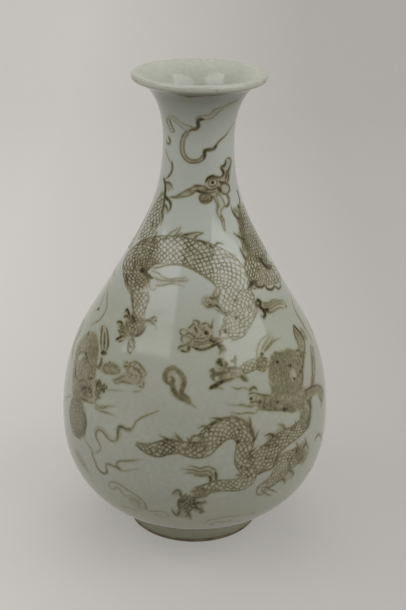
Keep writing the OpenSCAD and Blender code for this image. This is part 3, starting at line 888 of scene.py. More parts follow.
# Claw of the dragon on the left of the belly
left_forearm = [(100, 372), (104, 364), (110, 361.5), (117, 364), (121, 369), (119, 374), (110, 374)]
left_thumb = [(123, 361), (128, 361), (130, 368), (127, 373), (124, 368)]
wash(0.46, forearm=left_forearm)
dabs(1.0, 0.4, 14, forearm_dabs=left_forearm)
wash(0.26,
     paw=[(112, 379), (120, 375), (128, 371), (131, 364), (138, 362), (146, 372), (145, 378), (141, 385),
          (132, 384), (121, 383)],
     thumb=left_thumb)
dabs(1.1, 0.42, 22,
     paw_dabs=[(112, 380), (120, 376), (128, 371), (131, 364), (138, 362), (146, 372), (145, 378),
               (141, 387), (132, 384), (121, 383)])
dabs(1.2, 0.8, 7, thumb_dabs=left_thumb,
     tip_dabs=[(138, 384), (144, 383), (145, 390), (140, 389)])
brush(1.5, 0.45,
      toe_root=[(104, 372), (112, 373.8), (120, 373)],
      toe_back=[(112, 379.8), (117, 379.8), (121.5, 377), (126, 376)],
      arch=[(127.5, 371), (130, 364), (134, 361.8), (138, 363), (141.3, 366.5), (145, 371), (146, 375),
            (142.5, 377.5)],
      arch_inner=[(132.5, 366.5), (137, 370), (141, 374), (140.5, 380), (138, 384)],
      toe_back_low=[(112.5, 380.5), (117, 383.3), (122, 381.5), (128, 383), (134, 384.3)])
brush(1.0, 0.42,
      whisker=[(103, 389), (112, 390), (124, 391.3)],
      toe_low=[(133, 391.5), (137, 391.5), (142, 390.5)])

# Claw in the middle of the belly, right of the flaming comma
wash(0.34,
     palm=[(210, 369), (218, 366), (230, 367), (241, 367), (246, 374), (236, 379), (222, 383), (212, 380)])
pale(palm_light=[(214.5, 376.8), (217, 374.8), (220, 377), (218.3, 380), (215, 379.7)])
wash(0.36,
     toe_high_shade=[(216, 359), (221, 357), (227, 362), (227, 368), (217, 367)],
     toe_low_shade=[(208.5, 389.5), (211, 385), (220, 379.5), (234, 377), (232, 381), (221, 385),
                    (214, 389)],
     toe_right_shade=[(239, 371), (244, 372), (249, 380), (246, 383), (240, 379)])
dabs(1.1, 0.5, 14, heel_dabs=[(209, 370), (218, 368), (228, 370), (226, 378), (214, 381)])
dabs(1.2, 0.55, 12, wrist_dabs=[(222, 370), (234, 367), (243, 368), (246, 376), (236, 378), (224, 377)])
brush(3.0, 0.85, 0.2, 0.5, toe_high=[(220, 359.3), (219.5, 361.8), (221, 364.8), (223.5, 366)])
brush(2.2, 0.5, 0.2, 0.5,
      toe_high_near=[(216.3, 364), (217.5, 361.3)],
      toe_high_far=[(224.5, 366.5), (226.7, 364.5), (226, 362)],
      toe_up=[(235.3, 355.5), (235, 360.5), (235.3, 368)],
      toe_up_bar=[(231, 361), (234, 361), (237.4, 359.5)])
brush(2.4, 0.6, 0.15, 0.4,
      toe_back=[(209.5, 371.3), (212.3, 370), (213.8, 372.8), (217, 374.5), (221, 373.5), (225.5, 372),
                (230, 371)],
      toe_side=[(211.5, 374.5), (212.5, 377.5), (214, 380.3)],
      wrist=[(228.5, 369), (234, 367.8), (240, 368.5)])
brush(2.5, 0.8, 0.15, 0.3,
      toe_low=[(209.8, 388.5), (213, 386.5), (217, 384.6), (221, 382), (226, 380.3), (232.5, 379)],
      toe_right=[(241.5, 376), (243.5, 378), (247, 381)])
brush(1.3, 0.42,
      toe_low_side=[(214, 388.3), (219, 387.8), (224, 389)],
      whisker=[(232, 387.5), (238, 389), (243, 387.7), (248, 389.5), (251, 390.5)])
scaly_body(2.6, 0.4, forearm=[(256, 363.5, 5, 0.55), (249, 366.5, 5.5, 0.6), (242, 370.5, 4.5, 0.6)])
brush(2.0, 0.8, 0.1, 0.3, small_claw=[(249.5, 391), (252, 388.3), (255, 387.7), (257.3, 391)])

# Dragon on the right of the belly, with its brown mane
wash(0.47,
     mane=[(270, 358), (275, 351), (281, 352), (288, 348), (294, 350), (300, 350), (304, 362), (303, 380),
           (299, 392), (297, 402), (291, 411), (278, 411), (262, 409), (258, 402), (262, 397), (271, 394),
           (268, 376)],
     far_hand=[(304, 394), (307, 388), (313, 385), (320, 384), (324, 391), (322, 404), (318, 396),
               (313, 394), (309, 402), (305, 402)],
     ribbon_fold=[(293, 324), (296, 326), (299, 332), (303, 338), (305, 346), (304, 356), (300, 352),
                  (297, 344), (294, 336)])
wash(0.5,
     mane_top=[(286, 354), (292, 350), (304, 349), (304, 364), (297, 366), (290, 361)],
     mane_side=[(297, 362), (304, 360), (303, 386), (298, 390), (296, 378)],
     chin=[(257, 402), (262, 399), (270, 403), (280, 400), (292, 403), (296, 411), (284, 412), (270, 410),
           (258, 408)])
wash(0.42,
     far_body=[(299, 398), (306, 393), (312, 402), (312, 414), (309, 428), (302, 430), (300, 416)],
     ribbon_far=[(299, 326), (303, 329), (308, 338), (306, 341), (301, 335)],
     ribbon_right=[(309.5, 344), (313.5, 347), (315.5, 366), (314, 386), (310.5, 386), (311, 366)],
     far_joint=[(293, 394), (301, 386), (309, 392), (312, 402), (306, 410), (297, 410)],
     jaw=[(252, 396), (262, 394), (272, 393.5), (276, 399), (275, 408), (260, 408), (256, 402)],
     ball=[(256, 360), (262, 356), (268, 360), (267, 369), (262, 372), (256, 368)])
hairs(0.7, 0.17, 9,
      mane_long=([(273, 358), (271, 372), (274, 386), (280, 400)],
                 [(290, 356), (288, 372), (291, 384), (290, 402)]),
      mane_short=([(292, 384), (294, 390), (293, 396), (290, 404)],
                  [(302, 378), (301, 386), (299, 393), (297, 403)]),
      mane_back=([(286, 352), (284, 358), (286, 364), (284, 370)],
                 [(302, 350), (299, 357), (302, 364), (300, 372)]),
      jaw_hair=([(260, 403), (268, 405), (275, 403), (282, 405)],
                [(264, 407), (274, 409), (284, 407), (294, 409)]))
dabs(0.9, 0.14, 14, way=(0.9, 2.0),
     mane_dabs=[(272, 356), (288, 349), (304, 351), (303, 384), (297, 403), (290, 410), (270, 408),
                (272, 390)])
dabs(1.3, 0.85, 12, side_dabs=[(296, 350), (304, 350), (304, 364), (303, 386), (298, 388), (297, 364)],
     chin_dabs=[(257, 401), (270, 399), (290, 402), (294, 410), (270, 410), (257, 407)])
dabs(1.0, 0.6, 14, joint_dabs=[(293, 394), (301, 387), (309, 393), (311, 402), (305, 410), (297, 409)],
     hand_dabs=[(304, 393), (312, 385), (321, 385), (323, 398), (312, 394), (307, 402)],
     far_dabs=[(299, 400), (307, 394), (312, 404), (311, 416), (307, 428), (302, 428)])
dots(1.6, 0.2, curl_first=(271, 356.5), curl_second=(275, 352.5), curl_third=(281, 350.5),
     curl_fourth=(287, 348.5), curl_fifth=(292, 349.5), curl_sixth=(297, 348.5), curl_inner=(279, 356),
     curl_middle=(284.5, 355), curl_low=(290, 355.5))
pale(cheek_pale=[(291, 371), (293.5, 369), (296, 374), (295.3, 380), (292, 381)])
wash(0.2, streamer_shade=[(258, 352), (260, 343), (268, 335), (277, 339), (270, 347), (264, 353)])
brush(1.0, 0.6,
      streamer_left=[(257, 358), (257, 350), (259.3, 343), (264, 337.3), (271, 332.5)],
      streamer_middle=[(261.5, 351), (263.5, 346), (266.5, 341), (269.5, 336)],
      streamer_inner=[(264, 352), (267, 346.5), (270.5, 342.5), (273, 338)],
      streamer_right=[(265.5, 351), (270, 345.3), (274, 341), (279.5, 338)],
      mane_hem=[(256, 410), (263, 409.5), (270, 410.3), (278, 410.3), (284, 409.3), (291, 412), (297, 411)],
      tail_low=[(231, 412.5), (240, 413.7), (248, 412.7), (255, 413), (260.5, 408)],
      ribbon_near=[(291, 296), (293.5, 306), (298.5, 316), (304, 325), (308, 334), (312, 344)],
      edge_line=[(294, 309), (300, 320), (306.5, 330), (311.5, 339), (316, 349)])
scaly_body(2.7, 0.5, ball=[(268, 362, 4, 0.5), (262, 364, 8, 0.5), (256, 365, 4, 0.5)])
brush(2.0, 0.45, 0.1, 0.6,
      tail_streamer=[(256, 405), (250, 406.5), (242, 405), (235, 405.3), (228, 404.5)],
      ribbon_long=[(310.5, 349), (312, 358), (312.5, 368), (312.7, 378), (312, 386)],
      ribbon_edge=[(300, 318), (303, 325), (307, 332), (311, 339)])
brush(1.9, 0.85, 0.2, 0.3,
      mane_edge=[(293.5, 325), (298, 330), (302.5, 336.5), (305, 345), (304, 355)],
      mane_edge_low=[(303, 352), (303.3, 362), (302, 369), (302.5, 378), (300, 387)],
      far_edge=[(306, 400), (310, 402), (310.3, 411), (309, 420), (305, 430)])
brush(2.6, 0.95, 0.2, 0.3, far_edge_dark=[(309, 402), (310.3, 407), (309.8, 414), (307, 422)])
brush(1.3, 0.7, 0.1, 0.3,
      mane_edge_inner=[(293.3, 325), (294.3, 333), (297, 341), (300.5, 349)],
      far_digit=[(304.5, 391), (310, 388), (317, 385.5), (321.5, 389), (322.5, 396)],
      far_digit_low=[(307, 404), (311, 398), (314, 393)],
      far_digit_end=[(319, 397), (321.5, 402), (320.5, 408)],
      eye_line=[(287.5, 366.3), (290, 365), (293.5, 367.5)],
      mouth_line=[(292, 377), (294, 379), (295, 384)],
      snout_top=[(248.5, 394), (254, 393), (262, 395), (270, 396)],
      snout_low=[(250, 403), (256, 401.5), (259, 404)])
dots(2.0, 0.95, eye=(290.5, 366.2), ball_spot=(277.5, 361.5), cheek_spot=(294, 379))
dots(2.3, 1.0, blot_left=(250.5, 399), blot_second=(260, 401), blot_third=(278, 402),
     edge_spot=(300.7, 371.5), edge_spot_high=(301.5, 356), streamer_dot=(262.5, 354))
brush(2.8, 1.0, 0.1, 0.3, blot_right=[(283, 408.5), (287, 410)])

# Dragon on the left of the belly, with its mane and ribbons
wash(0.42,
     mane=[(80, 340), (85, 334), (90, 331), (97, 334), (99, 350), (97, 366), (95, 380), (90, 400),
           (80, 402), (73, 396), (73, 370), (76, 352)],
     flank_shade=[(71, 398), (80, 398), (86, 412), (86, 430), (81, 437), (72, 428), (69, 412)])
wash(0.5, mane_dark=[(87, 336), (96, 336), (98, 352), (95, 370), (89, 380), (87, 360)])
wash(0.36,
     head=[(75, 352), (86, 352), (90, 376), (97, 384), (106, 387), (98, 398), (92, 403), (84, 396),
           (78, 400), (74, 384)],
     jaw=[(92, 390), (96, 382), (100, 380), (101, 386), (108, 386), (104, 392), (100, 400), (94, 401)])
wash(0.2, mane_edge=[(77, 344), (86, 336), (88, 354), (84, 380), (78, 400), (72, 396), (73, 370)])
hairs(0.8, 0.18, 8,
      mane_hair=([(86, 338), (85, 350), (86, 362), (88, 376)],
                 [(97, 336), (98, 350), (96, 362), (94, 378)]),
      cheek_hair=([(76, 364), (79, 376), (77, 388), (76, 402)],
                  [(90, 372), (87, 382), (88, 392), (82, 402)]))
dabs(1.0, 0.18, 12, way=(0.9, 2.0),
     mane_dabs=[(84, 338), (97, 336), (98, 356), (94, 380), (88, 400), (77, 398), (75, 366)])
dabs(1.2, 0.85, 26,
     jaw_dabs=[(93, 388), (96, 381), (101, 382), (107, 386), (101, 394), (96, 402)],
     snout_dabs=[(80, 386), (86, 383), (92, 388), (92, 400), (84, 396)])
brush(1.7, 0.85, 0.2, 0.3,
      ribbon_left=[(102.5, 326), (101.5, 333), (101, 341), (101.5, 349)],
      ribbon_middle=[(104.5, 332), (104.5, 340), (104, 350)],
      ribbon_right=[(106.5, 328), (108, 337), (108, 346), (105.5, 352)])
wash(0.25, ribbon_shade=[(99.5, 326), (107, 326), (109, 342), (107, 353), (101, 353)])
brush(0.9, 0.85, 0.1, 0.2, horn=[(77, 362), (76.8, 357), (79, 353.3), (83, 351.8), (86, 353.5)])
pale(horn_pale=[(78, 361), (78.5, 356.5), (82, 354), (84.5, 355), (81, 359)])
brush(1.6, 0.42, 0.1, 0.4,
      ribbon_long=[(108, 289), (107, 297), (107, 305), (105, 312), (101.5, 317.5), (98, 321), (94, 323),
                   (91, 326.5), (89, 333), (88.3, 336)],
      ribbon_edge=[(110, 281), (107.5, 288.5), (103.5, 296.5), (101, 303.5), (98, 308.3), (94, 311.3)],
      streamer_high=[(93.5, 402), (97.5, 406), (102, 408), (108, 406), (115.5, 406.5)],
      streamer_low=[(94.5, 407), (100, 411), (108, 413), (116.5, 416)])
wash(0.27, streamer_shade=[(94, 403), (100, 404), (113, 405), (108, 408), (101, 411), (96, 409)])
brush(3.2, 1.0, 0.1, 0.3, ribbon_knot=[(101.5, 352), (103.5, 353), (106.5, 353.5)])
dabs(1.5, 0.9, 9, knot_dabs=[(98, 358), (104, 356), (104, 366), (100, 371), (97, 368)])
brush(1.8, 0.9, 0.2, 0.3,
      under_knot=[(101.5, 357), (101, 363), (98.5, 369.5)],
      jaw_high=[(99.5, 380), (97, 385), (96, 390)],
      jaw_low=[(107, 388), (102.5, 389.3), (99, 392.5), (97.3, 397.5), (95, 402)],
      snout=[(82, 389.5), (85.5, 387.3), (88.3, 390)],
      eye_line=[(76.5, 365), (75.3, 372), (76.3, 379)])
brush(1.2, 0.65,
      jaw_edge=[(81, 398), (86, 400.5), (91, 403), (95, 402.5)],
      cheek_line=[(87, 378), (91, 379), (95, 376)],
      nose_line=[(80, 384), (83, 392), (88, 397)],
      brow_line=[(78, 382), (84, 380), (88, 384)])
dots(2.1, 0.98, horn_root=(86, 354), jaw_blot=(103, 391), cheek_blot=(90.5, 378.5), ribbon_blot=(98, 309),
     ribbon_second=(88.3, 334))
scaly_body(2.7, 0.7,
           flank=[(76, 398, 3.5, 0.55), (76.5, 408, 5.5, 0.6), (78, 420, 8, 0.6), (79, 430, 7, 0.6),
                  (83, 438, 3, 0.7)])
brush(1.6, 0.8, flank_edge=[(81.5, 409), (85, 416.5), (86, 424), (84, 431.5), (83, 437.5)])

# Lower dragon, with its dark tail, its arched body and its foot
scaly_body(2.8, 0.85,
           tail=[(136, 443.5, 1.5, 0.7), (147, 448.5, 4.5, 0.95), (157, 449.5, 7.5, 1.0),
                 (168, 447, 7.5, 1.0), (180, 447.5, 6, 0.9), (192, 450, 7.5, 0.95), (203, 447.5, 10, 0.85),
                 (211, 438, 11.5, 0.7), (221, 430.5, 11, 0.65), (232, 428, 10.5, 0.65),
                 (242, 432.5, 10.5, 0.7), (245, 443, 8.5, 0.68), (242.5, 453, 7, 0.58), (243, 462, 8, 0.6),
                 (248.5, 471, 8, 0.6), (247, 479, 7, 0.6), (239, 484.5, 6, 0.6), (228, 485.5, 5.5, 0.68),
                 (217, 486, 5.5, 0.75), (207, 489, 5, 0.75), (198, 492, 5, 0.75)])
dabs(1.1, 0.95, 30,
     tail_dabs=[(142, 446), (152, 443), (172, 440), (186, 443), (204, 440), (206, 452), (194, 456),
                (178, 452), (158, 456), (146, 452)])
dabs(1.0, 0.75, 14,
     arch_dabs=[(208, 440), (214, 423), (232, 418), (250, 428), (253, 444), (246, 448), (240, 438),
                (222, 436)],
     low_dabs=[(237, 458), (249, 456), (255, 474), (246, 486), (222, 490), (206, 493), (216, 482),
               (240, 474)])
pale(tail_leaf=[(150, 445.5), (154, 443.3), (158, 444), (155, 446.5)])
brush(2.1, 0.68, 0, 0.9,
      fin_first=[(172, 441), (166, 438.5), (159, 435.3)],
      fin_second=[(182, 441.5), (178.5, 437.5), (175, 433)],
      fin_third=[(190, 444), (189, 440.5), (187, 437.5)],
      fin_hook=[(209, 430), (207.5, 427), (203, 426), (198, 428.3)],
      fin_arch=[(222, 421), (219.5, 419), (214, 418.3), (210, 418)],
      fin_top=[(240, 420), (236.5, 417.5), (231, 415.5)],
      fin_side=[(249.5, 428), (250.5, 422), (249, 416)],
      fin_low=[(253, 441), (256, 437), (258.5, 431)],
      fin_joint=[(250, 452), (254, 450), (256.5, 447)])
wash(0.34,
     fin_shade=[(160, 436), (170, 438), (176, 434), (183, 441), (172, 443)],
     hump_shade=[(188, 446), (190, 439), (196, 434.5), (204, 437), (206, 444), (198, 448)],
     back_shade=[(206, 428), (212, 420), (222, 417), (236, 416), (250, 421), (256, 434), (254, 442),
                 (248, 430), (232, 421), (216, 424)])
pale(hump_light=[(193, 441), (195, 436.5), (199, 436.8), (200, 440), (197, 442.5)])
brush(1.3, 0.6, hump=[(190, 445.5), (190.3, 440), (194, 436), (200, 435.8), (204, 439.5), (203.5, 445)])
brush(1.8, 0.9, 0.2, 0.3,
      arch_dark=[(209.5, 425.5), (213.5, 423.5), (217.5, 421)],
      neck_dark=[(200, 452.5), (205, 449), (207, 443)])
dots(2.4, 1.0, bend_blot=(238, 441.5))
dots(1.8, 0.9, arch_blot=(239, 429.5), side_blot=(251, 431), low_blot=(241.5, 467.5), far_blot=(247, 468.5))
brush(1.0, 0.55, 0.2, 0.2,
      leg_streamer_high=[(188, 466), (194, 466.5), (200, 468.3), (208, 466.7), (214, 469), (216.3, 474),
                         (216, 481)],
      leg_streamer_second=[(181, 469), (193, 470), (200, 472), (206, 471), (211.5, 473), (213, 479)],
      leg_streamer_third=[(185, 473), (193, 473), (200, 475), (206, 474), (210, 477)],
      leg_streamer_low=[(194, 475.5), (202, 476.5), (208, 476), (209.5, 480)])
wash(0.24,
     leg_streamer_shade=[(184, 468), (194, 468), (208, 468), (215, 473), (214, 480), (208, 477), (196, 475),
                         (188, 473)])
brush(1.7, 0.9, 0.1, 0.2,
      leg_side=[(209.5, 476), (211, 479.5), (210, 482)],
      leg_front=[(215.5, 472), (216.3, 477), (215.5, 482)],
      leg_knee=[(201, 488), (205, 490), (209, 491)])
brush(1.4, 0.75,
      thigh_low=[(192, 497), (199, 497.5), (206, 496), (210.5, 492)],
      belly_hem=[(221, 491), (215, 490), (209, 491)])
wash(0.4, thigh=[(191, 490), (196, 486.5), (203, 487), (208, 490), (206, 496), (196, 498), (191, 496)])
dabs(1.1, 0.75, 16,
     thigh_dabs=[(191, 490), (196, 486.5), (203, 487), (210, 490), (206, 496), (196, 498), (191, 496)])
wash(0.34,
     foot_pad=[(179, 500), (183, 496), (190, 496.5), (196, 497), (198, 502), (195, 508), (188, 511),
               (180, 511)],
     toe_right_shade=[(192, 501), (205, 500.5), (206.5, 504), (196, 507)],
     toe_low_shade=[(190, 506), (198, 505.5), (204.5, 510), (203, 513.5), (194, 510)],
     toe_up_shade=[(171.5, 494.5), (174, 491), (178, 489), (182, 496), (176, 496)],
     toe_down_shade=[(186, 510), (190, 510), (192, 519), (188, 519)])
wash(0.34, foot_heel=[(174, 511), (182, 510), (190, 511), (186, 518), (177, 517), (171, 511)])
scaly_body(2.2, 0.9, foot=[(190, 495, 4, 0.65), (187, 503, 8.5, 0.72), (184, 511, 5, 0.65)])
dabs(1.1, 0.85, 16,
     foot_dabs=[(178, 500), (183, 496), (194, 497), (198, 502), (194, 509), (186, 512), (179, 511)])
dabs(1.0, 0.75, 6, toe_right_dabs=[(194, 501), (205, 500.5), (206.5, 504), (196, 507)],
     toe_low_dabs=[(192, 506), (198, 505.5), (204.5, 510), (203, 513.5), (194, 510)],
     heel_dabs=[(174, 511), (182, 510), (190, 511), (186, 518), (177, 517)])
brush(1.5, 0.9, 0.15, 0.4,
      toe_up=[(181, 497), (180.5, 493), (178, 490), (175, 491.5), (172.3, 494.5)],
      toe_right=[(192, 504.5), (198, 503), (205.5, 502)],
      toe_low_right=[(191, 507), (196, 508), (200.5, 510), (204, 512)],
      foot_left=[(179.5, 499), (178.5, 504), (179.5, 511)],
      toe_down=[(187.5, 511), (189.3, 515), (191, 519)],
      toe_low_left=[(180, 510.5), (177, 515.5), (174, 513), (171.8, 509)])

# Body that branches up to the right of the belly, and its hind limb
scaly_body(2.8, 0.8,
           branch=[(251, 466, 8, 0.6), (260, 460.5, 9.5, 0.66), (268.5, 454, 10, 0.68),
                   (276.5, 445.5, 8.5, 0.65), (285, 438, 7.5, 0.65), (295, 432, 6.5, 0.65),
                   (303, 424, 5.5, 0.65), (307, 412, 4, 0.65)],
           hind_limb=[(303, 449, 5, 0.55), (297, 455, 7, 0.6), (290, 459.5, 8.5, 0.65), (284, 464, 8, 0.7),
                      (279, 473, 6.5, 0.65), (272, 481, 4.5, 0.6), (264, 486, 3.5, 0.5),
                      (258.5, 490.5, 3, 0.45)])
dabs(1.0, 0.8, 16,
     branch_dabs=[(252, 470), (258, 452), (276, 438), (288, 432), (290, 440), (278, 454), (264, 470)],
     limb_dabs=[(274, 480), (280, 460), (296, 450), (300, 460), (284, 474)])
brush(2.2, 0.75, 0, 0.9,
      fin_low=[(270, 446.5), (265, 445), (259.5, 447)],
      fin_second=[(274, 436.5), (270, 434), (264.5, 436)],
      fin_third=[(285, 430), (283, 425.5), (277.5, 424)],
      fin_high=[(290, 430), (294.5, 427), (295.5, 421)],
      limb_flame=[(296, 452), (298, 447), (296, 442)],
      limb_flame_far=[(303, 448), (306, 443), (305, 438)],
      limb_spike=[(289, 470), (293.5, 473.5), (291, 478.5)],
      limb_spike_low=[(281, 478), (285, 481), (283.5, 485)])
wash(0.34,
     fin_shade=[(258, 448), (267, 442), (266, 436), (276, 431), (280, 424), (288, 429), (278, 440),
                (268, 450)],
     fold_far=[(296, 450), (301, 443), (306, 441), (309, 450), (304, 463), (298, 464)],
     limb_low=[(280, 472), (290, 466), (294, 472), (288, 480), (278, 482)])
brush(1.6, 0.8, 0.1, 0.3,
      lower_edge=[(256, 475), (264, 471), (272, 468), (275.5, 460), (280, 452), (284, 446)],
      branch_joint=[(249, 452), (252, 457), (257, 459)],
      right_edge=[(315, 440), (318, 434.3), (321, 436.5), (321, 441)])
brush(1.0, 0.6,
      fold_line=[(303, 448), (301.5, 455), (302.5, 462)], fold_near=[(297, 451), (297, 458), (300, 463)],
      fold_edge=[(306, 442), (308.5, 449), (306, 457), (302, 464)])
brush(1.2, 0.5,
      hook=[(269, 481), (262, 484), (257.3, 488.5), (257, 493.5), (261, 495), (266, 492), (269.5, 488)],
      feather=[(265, 486), (270, 489.5), (277, 492)],
      feather_low=[(262, 490), (267, 494.5), (272, 495)],
      edge_line=[(322, 433), (321.5, 443), (319.5, 452), (316, 461), (311, 468), (304, 475)])
dots(1.9, 0.9, joint_blot=(265.5, 458.5), limb_blot=(288, 459), branch_blot=(277, 457),
     bend_blot=(287.5, 436))

# Faint clouds above the foot
brush(1.4, 0.42, 0.2, 0.4,
      left_long=[(109, 486.5), (109.5, 483), (113, 481.8), (119, 484), (124, 487.3), (128.5, 490.5),
                 (133.5, 493.5), (138.5, 497), (143, 501), (145.5, 505), (146.5, 509), (150.5, 511),
                 (157, 511.3), (163, 511.8), (168, 514.3), (167, 517), (162, 515.5), (157, 513.5)],
      left_second=[(110, 487.5), (113.5, 489), (117, 487.3), (120.3, 489.5), (122.5, 493.5), (126.5, 496),
                   (131, 495)])
brush(1.2, 0.28,
      left_third=[(129, 499), (134, 500), (138, 504), (141, 509.5)],
      left_fourth=[(122.5, 506), (129, 508), (136, 510), (141, 511.5)],
      left_fifth=[(131, 497), (137, 500), (142, 505)],
      left_last=[(154, 514), (160, 517), (167, 519)],
      right_long=[(205, 524), (208, 520.5), (216, 518.7), (226, 517), (236, 516), (246, 514.7), (256, 513)],
      right_second=[(210, 524), (216, 522.5), (226, 522), (231, 521), (237, 521)])
wash(0.14, left_shade=[(129, 496), (136, 497), (144, 505), (145, 511), (138, 509), (130, 503)])
dots(1.8, 0.28, right_blot=(229, 521.3), right_far=(252.5, 513.5), right_near=(212, 524))

# The pigment pools unevenly under the glaze, in patches a few millimetres wide
pool_cells = 24
stroke_grain = 0.1
wash_grain = 0.15
wash_spread = 9
thinnest_pool = 0.74
pool_range = 0.44
pool_patches = np.random.default_rng(7).random((rows // pool_cells + 2, columns // pool_cells))
patch_row = np.arange(rows + 1)[:, None] / pool_cells
patch_column = np.arange(columns)[None, :] / pool_cells


def patchy(row, column):
    """Smooth patches between random values on a coarse grid that closes round the vase."""
    i, j = row.astype(int), column.astype(int)
    u, v = row - i, column - j
    u, v = u * u * (3 - 2 * u), v * v * (3 - 2 * v)
    k = (j + 1) % pool_patches.shape[1]
    return ((pool_patches[i, j] * (1 - v) + pool_patches[i, k] * v) * (1 - u)
            + (pool_patches[i + 1, j] * (1 - v) + pool_patches[i + 1, k] * v) * u)


def blurred(layer, passes):
    """A layer of the lattice that has spread into its neighbours."""
    for axis in (0, 1) * passes:
        layer = (np.roll(layer, 1, axis) + 2 * layer + np.roll(layer, -1, axis)) / 4
    return layer


grain = blurred(np.random.default_rng(5).standard_normal(washes.shape).astype(np.float32), 4)
grain = np.clip(grain / grain.std(), -2, 2)
brush_marks = blurred(np.maximum(brush_marks, side_layers[0]), 1)
washes = np.maximum(washes, side_layers[1])
bare_of_strokes = 1 - brush_marks * (1 + stroke_grain * grain)
bare_of_washes = 1 - blurred(washes, wash_spread) * (1 + wash_grain * grain)
ink = 1 - bare_of_strokes * bare_of_washes
ink *= (thinnest_pool + pool_range * patchy(patch_row, patch_column)).astype(np.float32)
ink = np.maximum(ink, brush_marks ** 4)
ink = np.clip(np.maximum(ink, np.roll(ink, columns // 2, axis=1)), 0, 1)

# Mesh of the coat: square cells, small where the painting needs them and large elsewhere
fine_cell = 0.42
plain_cell = 4.0
edge_cell = 0.6
edge_zone = 5.0
inked_range = 0.05
cell_slack = 1.1
face_along = np.arange(len(coat_face)) * outline_step
row_along = np.interp(row_place, np.arange(len(coat_face)), face_along)
near_edge = (row_along < edge_zone + foot_height) | (row_along > row_along[-1] - edge_zone)


def pooled(values, size, pick):
    """The lowest or highest value in each cell of a size."""
    return pick(pick(values.reshape(rows // size, size, columns // size, size), axis=3), axis=1)


beside = np.roll(ink, -1, axis=1)
corners_of_cells = np.stack([ink[:-1], ink[1:], beside[:-1], beside[1:]])
cell_low, cell_high = corners_of_cells.min(0), corners_of_cells.max(0)
cells = []
waiting = np.stack(np.meshgrid(np.arange(rows // block), np.arange(columns // block), indexing="ij"), -1)
waiting, size = waiting.reshape(-1, 2), block
while len(waiting):
    row, column = waiting[:, 0] * size, waiting[:, 1]
    width = size * turn_step * row_radius[np.minimum(row + size // 2, rows)]
    spread = (pooled(cell_high, size, np.max) - pooled(cell_low, size, np.min))[waiting[:, 0], column]
    at_edge = near_edge[row] | near_edge[np.minimum(row + size, rows)]
    limit = np.where(spread > inked_range, fine_cell, np.where(at_edge, edge_cell, plain_cell))
    split = (width > limit * cell_slack) & (size > 1)
    kept = waiting[~split] * size
    cells.append(np.column_stack([kept, np.full(len(kept), size)]))
    parents = waiting[split] * 2
    waiting = np.concatenate([parents + [i, j] for i in (0, 1) for j in (0, 1)])
    size //= 2
cells = np.concatenate(cells)

corner_row = np.stack([cells[:, 0], cells[:, 0], cells[:, 0] + cells[:, 2], cells[:, 0] + cells[:, 2]], 1)
corner_column = np.stack([cells[:, 1], cells[:, 1] + cells[:, 2], cells[:, 1] + cells[:, 2], cells[:, 1]], 1)
in_use = np.zeros((rows + 1, columns), bool)
in_use[corner_row, corner_column % columns] = True
polygons = []
for (row, column, size), square_rows, square_columns in zip(
        cells.tolist(), corner_row.tolist(), corner_column.tolist()):
    if size == 1:
        polygons.append(list(zip(square_rows, square_columns)))
        continue
    steps = range(size)
    walk = ([(row, column + k) for k in steps] + [(row + k, column + size) for k in steps]
            + [(row + size, column + size - k) for k in steps] + [(row + size - k, column) for k in steps])
    polygons.append([p for p in walk if in_use[p[0], p[1] % columns]])

vertex_number = np.full((rows + 1, columns), -1)
vertex_number[in_use] = np.arange(in_use.sum())
used_row, used_column = np.nonzero(in_use)
used_turn = (used_column - columns / 2) * turn_step
used_normal = face_normal[np.clip(np.round(row_place[used_row]).astype(int), 0, len(coat_face) - 1)]


def set_round(radius, height, turns):
    """Points at a radius and a height, turned from the side that faces the camera."""
    return np.column_stack([radius * np.sin(turns), -radius * np.cos(turns), height])


# The glaze stops in a slightly wavy line above the resting face, and is even again at the foot's top
glaze_line = sum(size * np.sin(waves * used_turn + start)
                 for size, waves, start in ((0.2, 3, 1.0), (0.14, 5, 0.4), (0.1, 11, 2.1)))
line_share = np.clip((foot_height - row_height[used_row]) / (foot_height - bare_band), 0, 1) ** 2
line_rise = glaze_line * line_share
coat_vertices = set_round(row_radius[used_row] - foot_splay / foot_height * line_rise,
                          row_height[used_row] + line_rise, used_turn)
coat_normals = set_round(used_normal[:, 0], used_normal[:, 1], used_turn)
coat_faces = [[int(vertex_number[r, c % columns]) for r, c in polygon] for polygon in polygons]

# The side of the coat that lies on the clay: coarse rings, joined to the face at the foot and the lip
clay_share = 0.02  # of the map's height
face_start = 1.2 * clay_share
clay_columns = columns // block
clay_step = 5
clay_path = np.vstack([resampled(body_curve - outward(body_curve) * glaze_depth, clay_step),
                       lip_arc(wall_at_lip / 2, 0, 90)[3::5]])
clay_turns = np.tile((np.arange(clay_columns) * block - columns / 2) * turn_step, len(clay_path))
clay_normal = np.repeat(-outward(clay_path), clay_columns, axis=0)
coat_uv = [(c / columns, face_start + (1 - face_start) * row_along[r] / row_along[-1])
           for polygon in polygons for r, c in polygon]
for level in range(-1, len(clay_path)):
    for j in range(clay_columns):
        near, far = ([(k, j), (k, j + 1)] for k in (level, level + 1))
        corner = {}
        for ring, turned in near + far:
            number = len(coat_vertices) + ring * clay_columns + turned % clay_columns
            spot = (turned / clay_columns, clay_share * (ring + 1) / (len(clay_path) + 1))
            corner[ring, turned] = (number, spot)
        edge_row = {-1: 0, len(clay_path) - 1: rows}.get(level)
        loop = [corner[p] for p in (near[0], far[0], far[1], near[1])]
        if edge_row is not None:
            span = range(j * block, (j + 1) * block + 1)
            edge = [(int(vertex_number[edge_row, c % columns]), (c / columns, clay_share * (edge_row > 0)))
                    for c in span if in_use[edge_row, c % columns]]
            loop = (edge[::-1] + loop[1:3]) if edge_row == 0 else (edge + [loop[3], loop[0]])
        coat_faces.append([number for number, spot in loop])
        coat_uv += [spot for number, spot in loop]
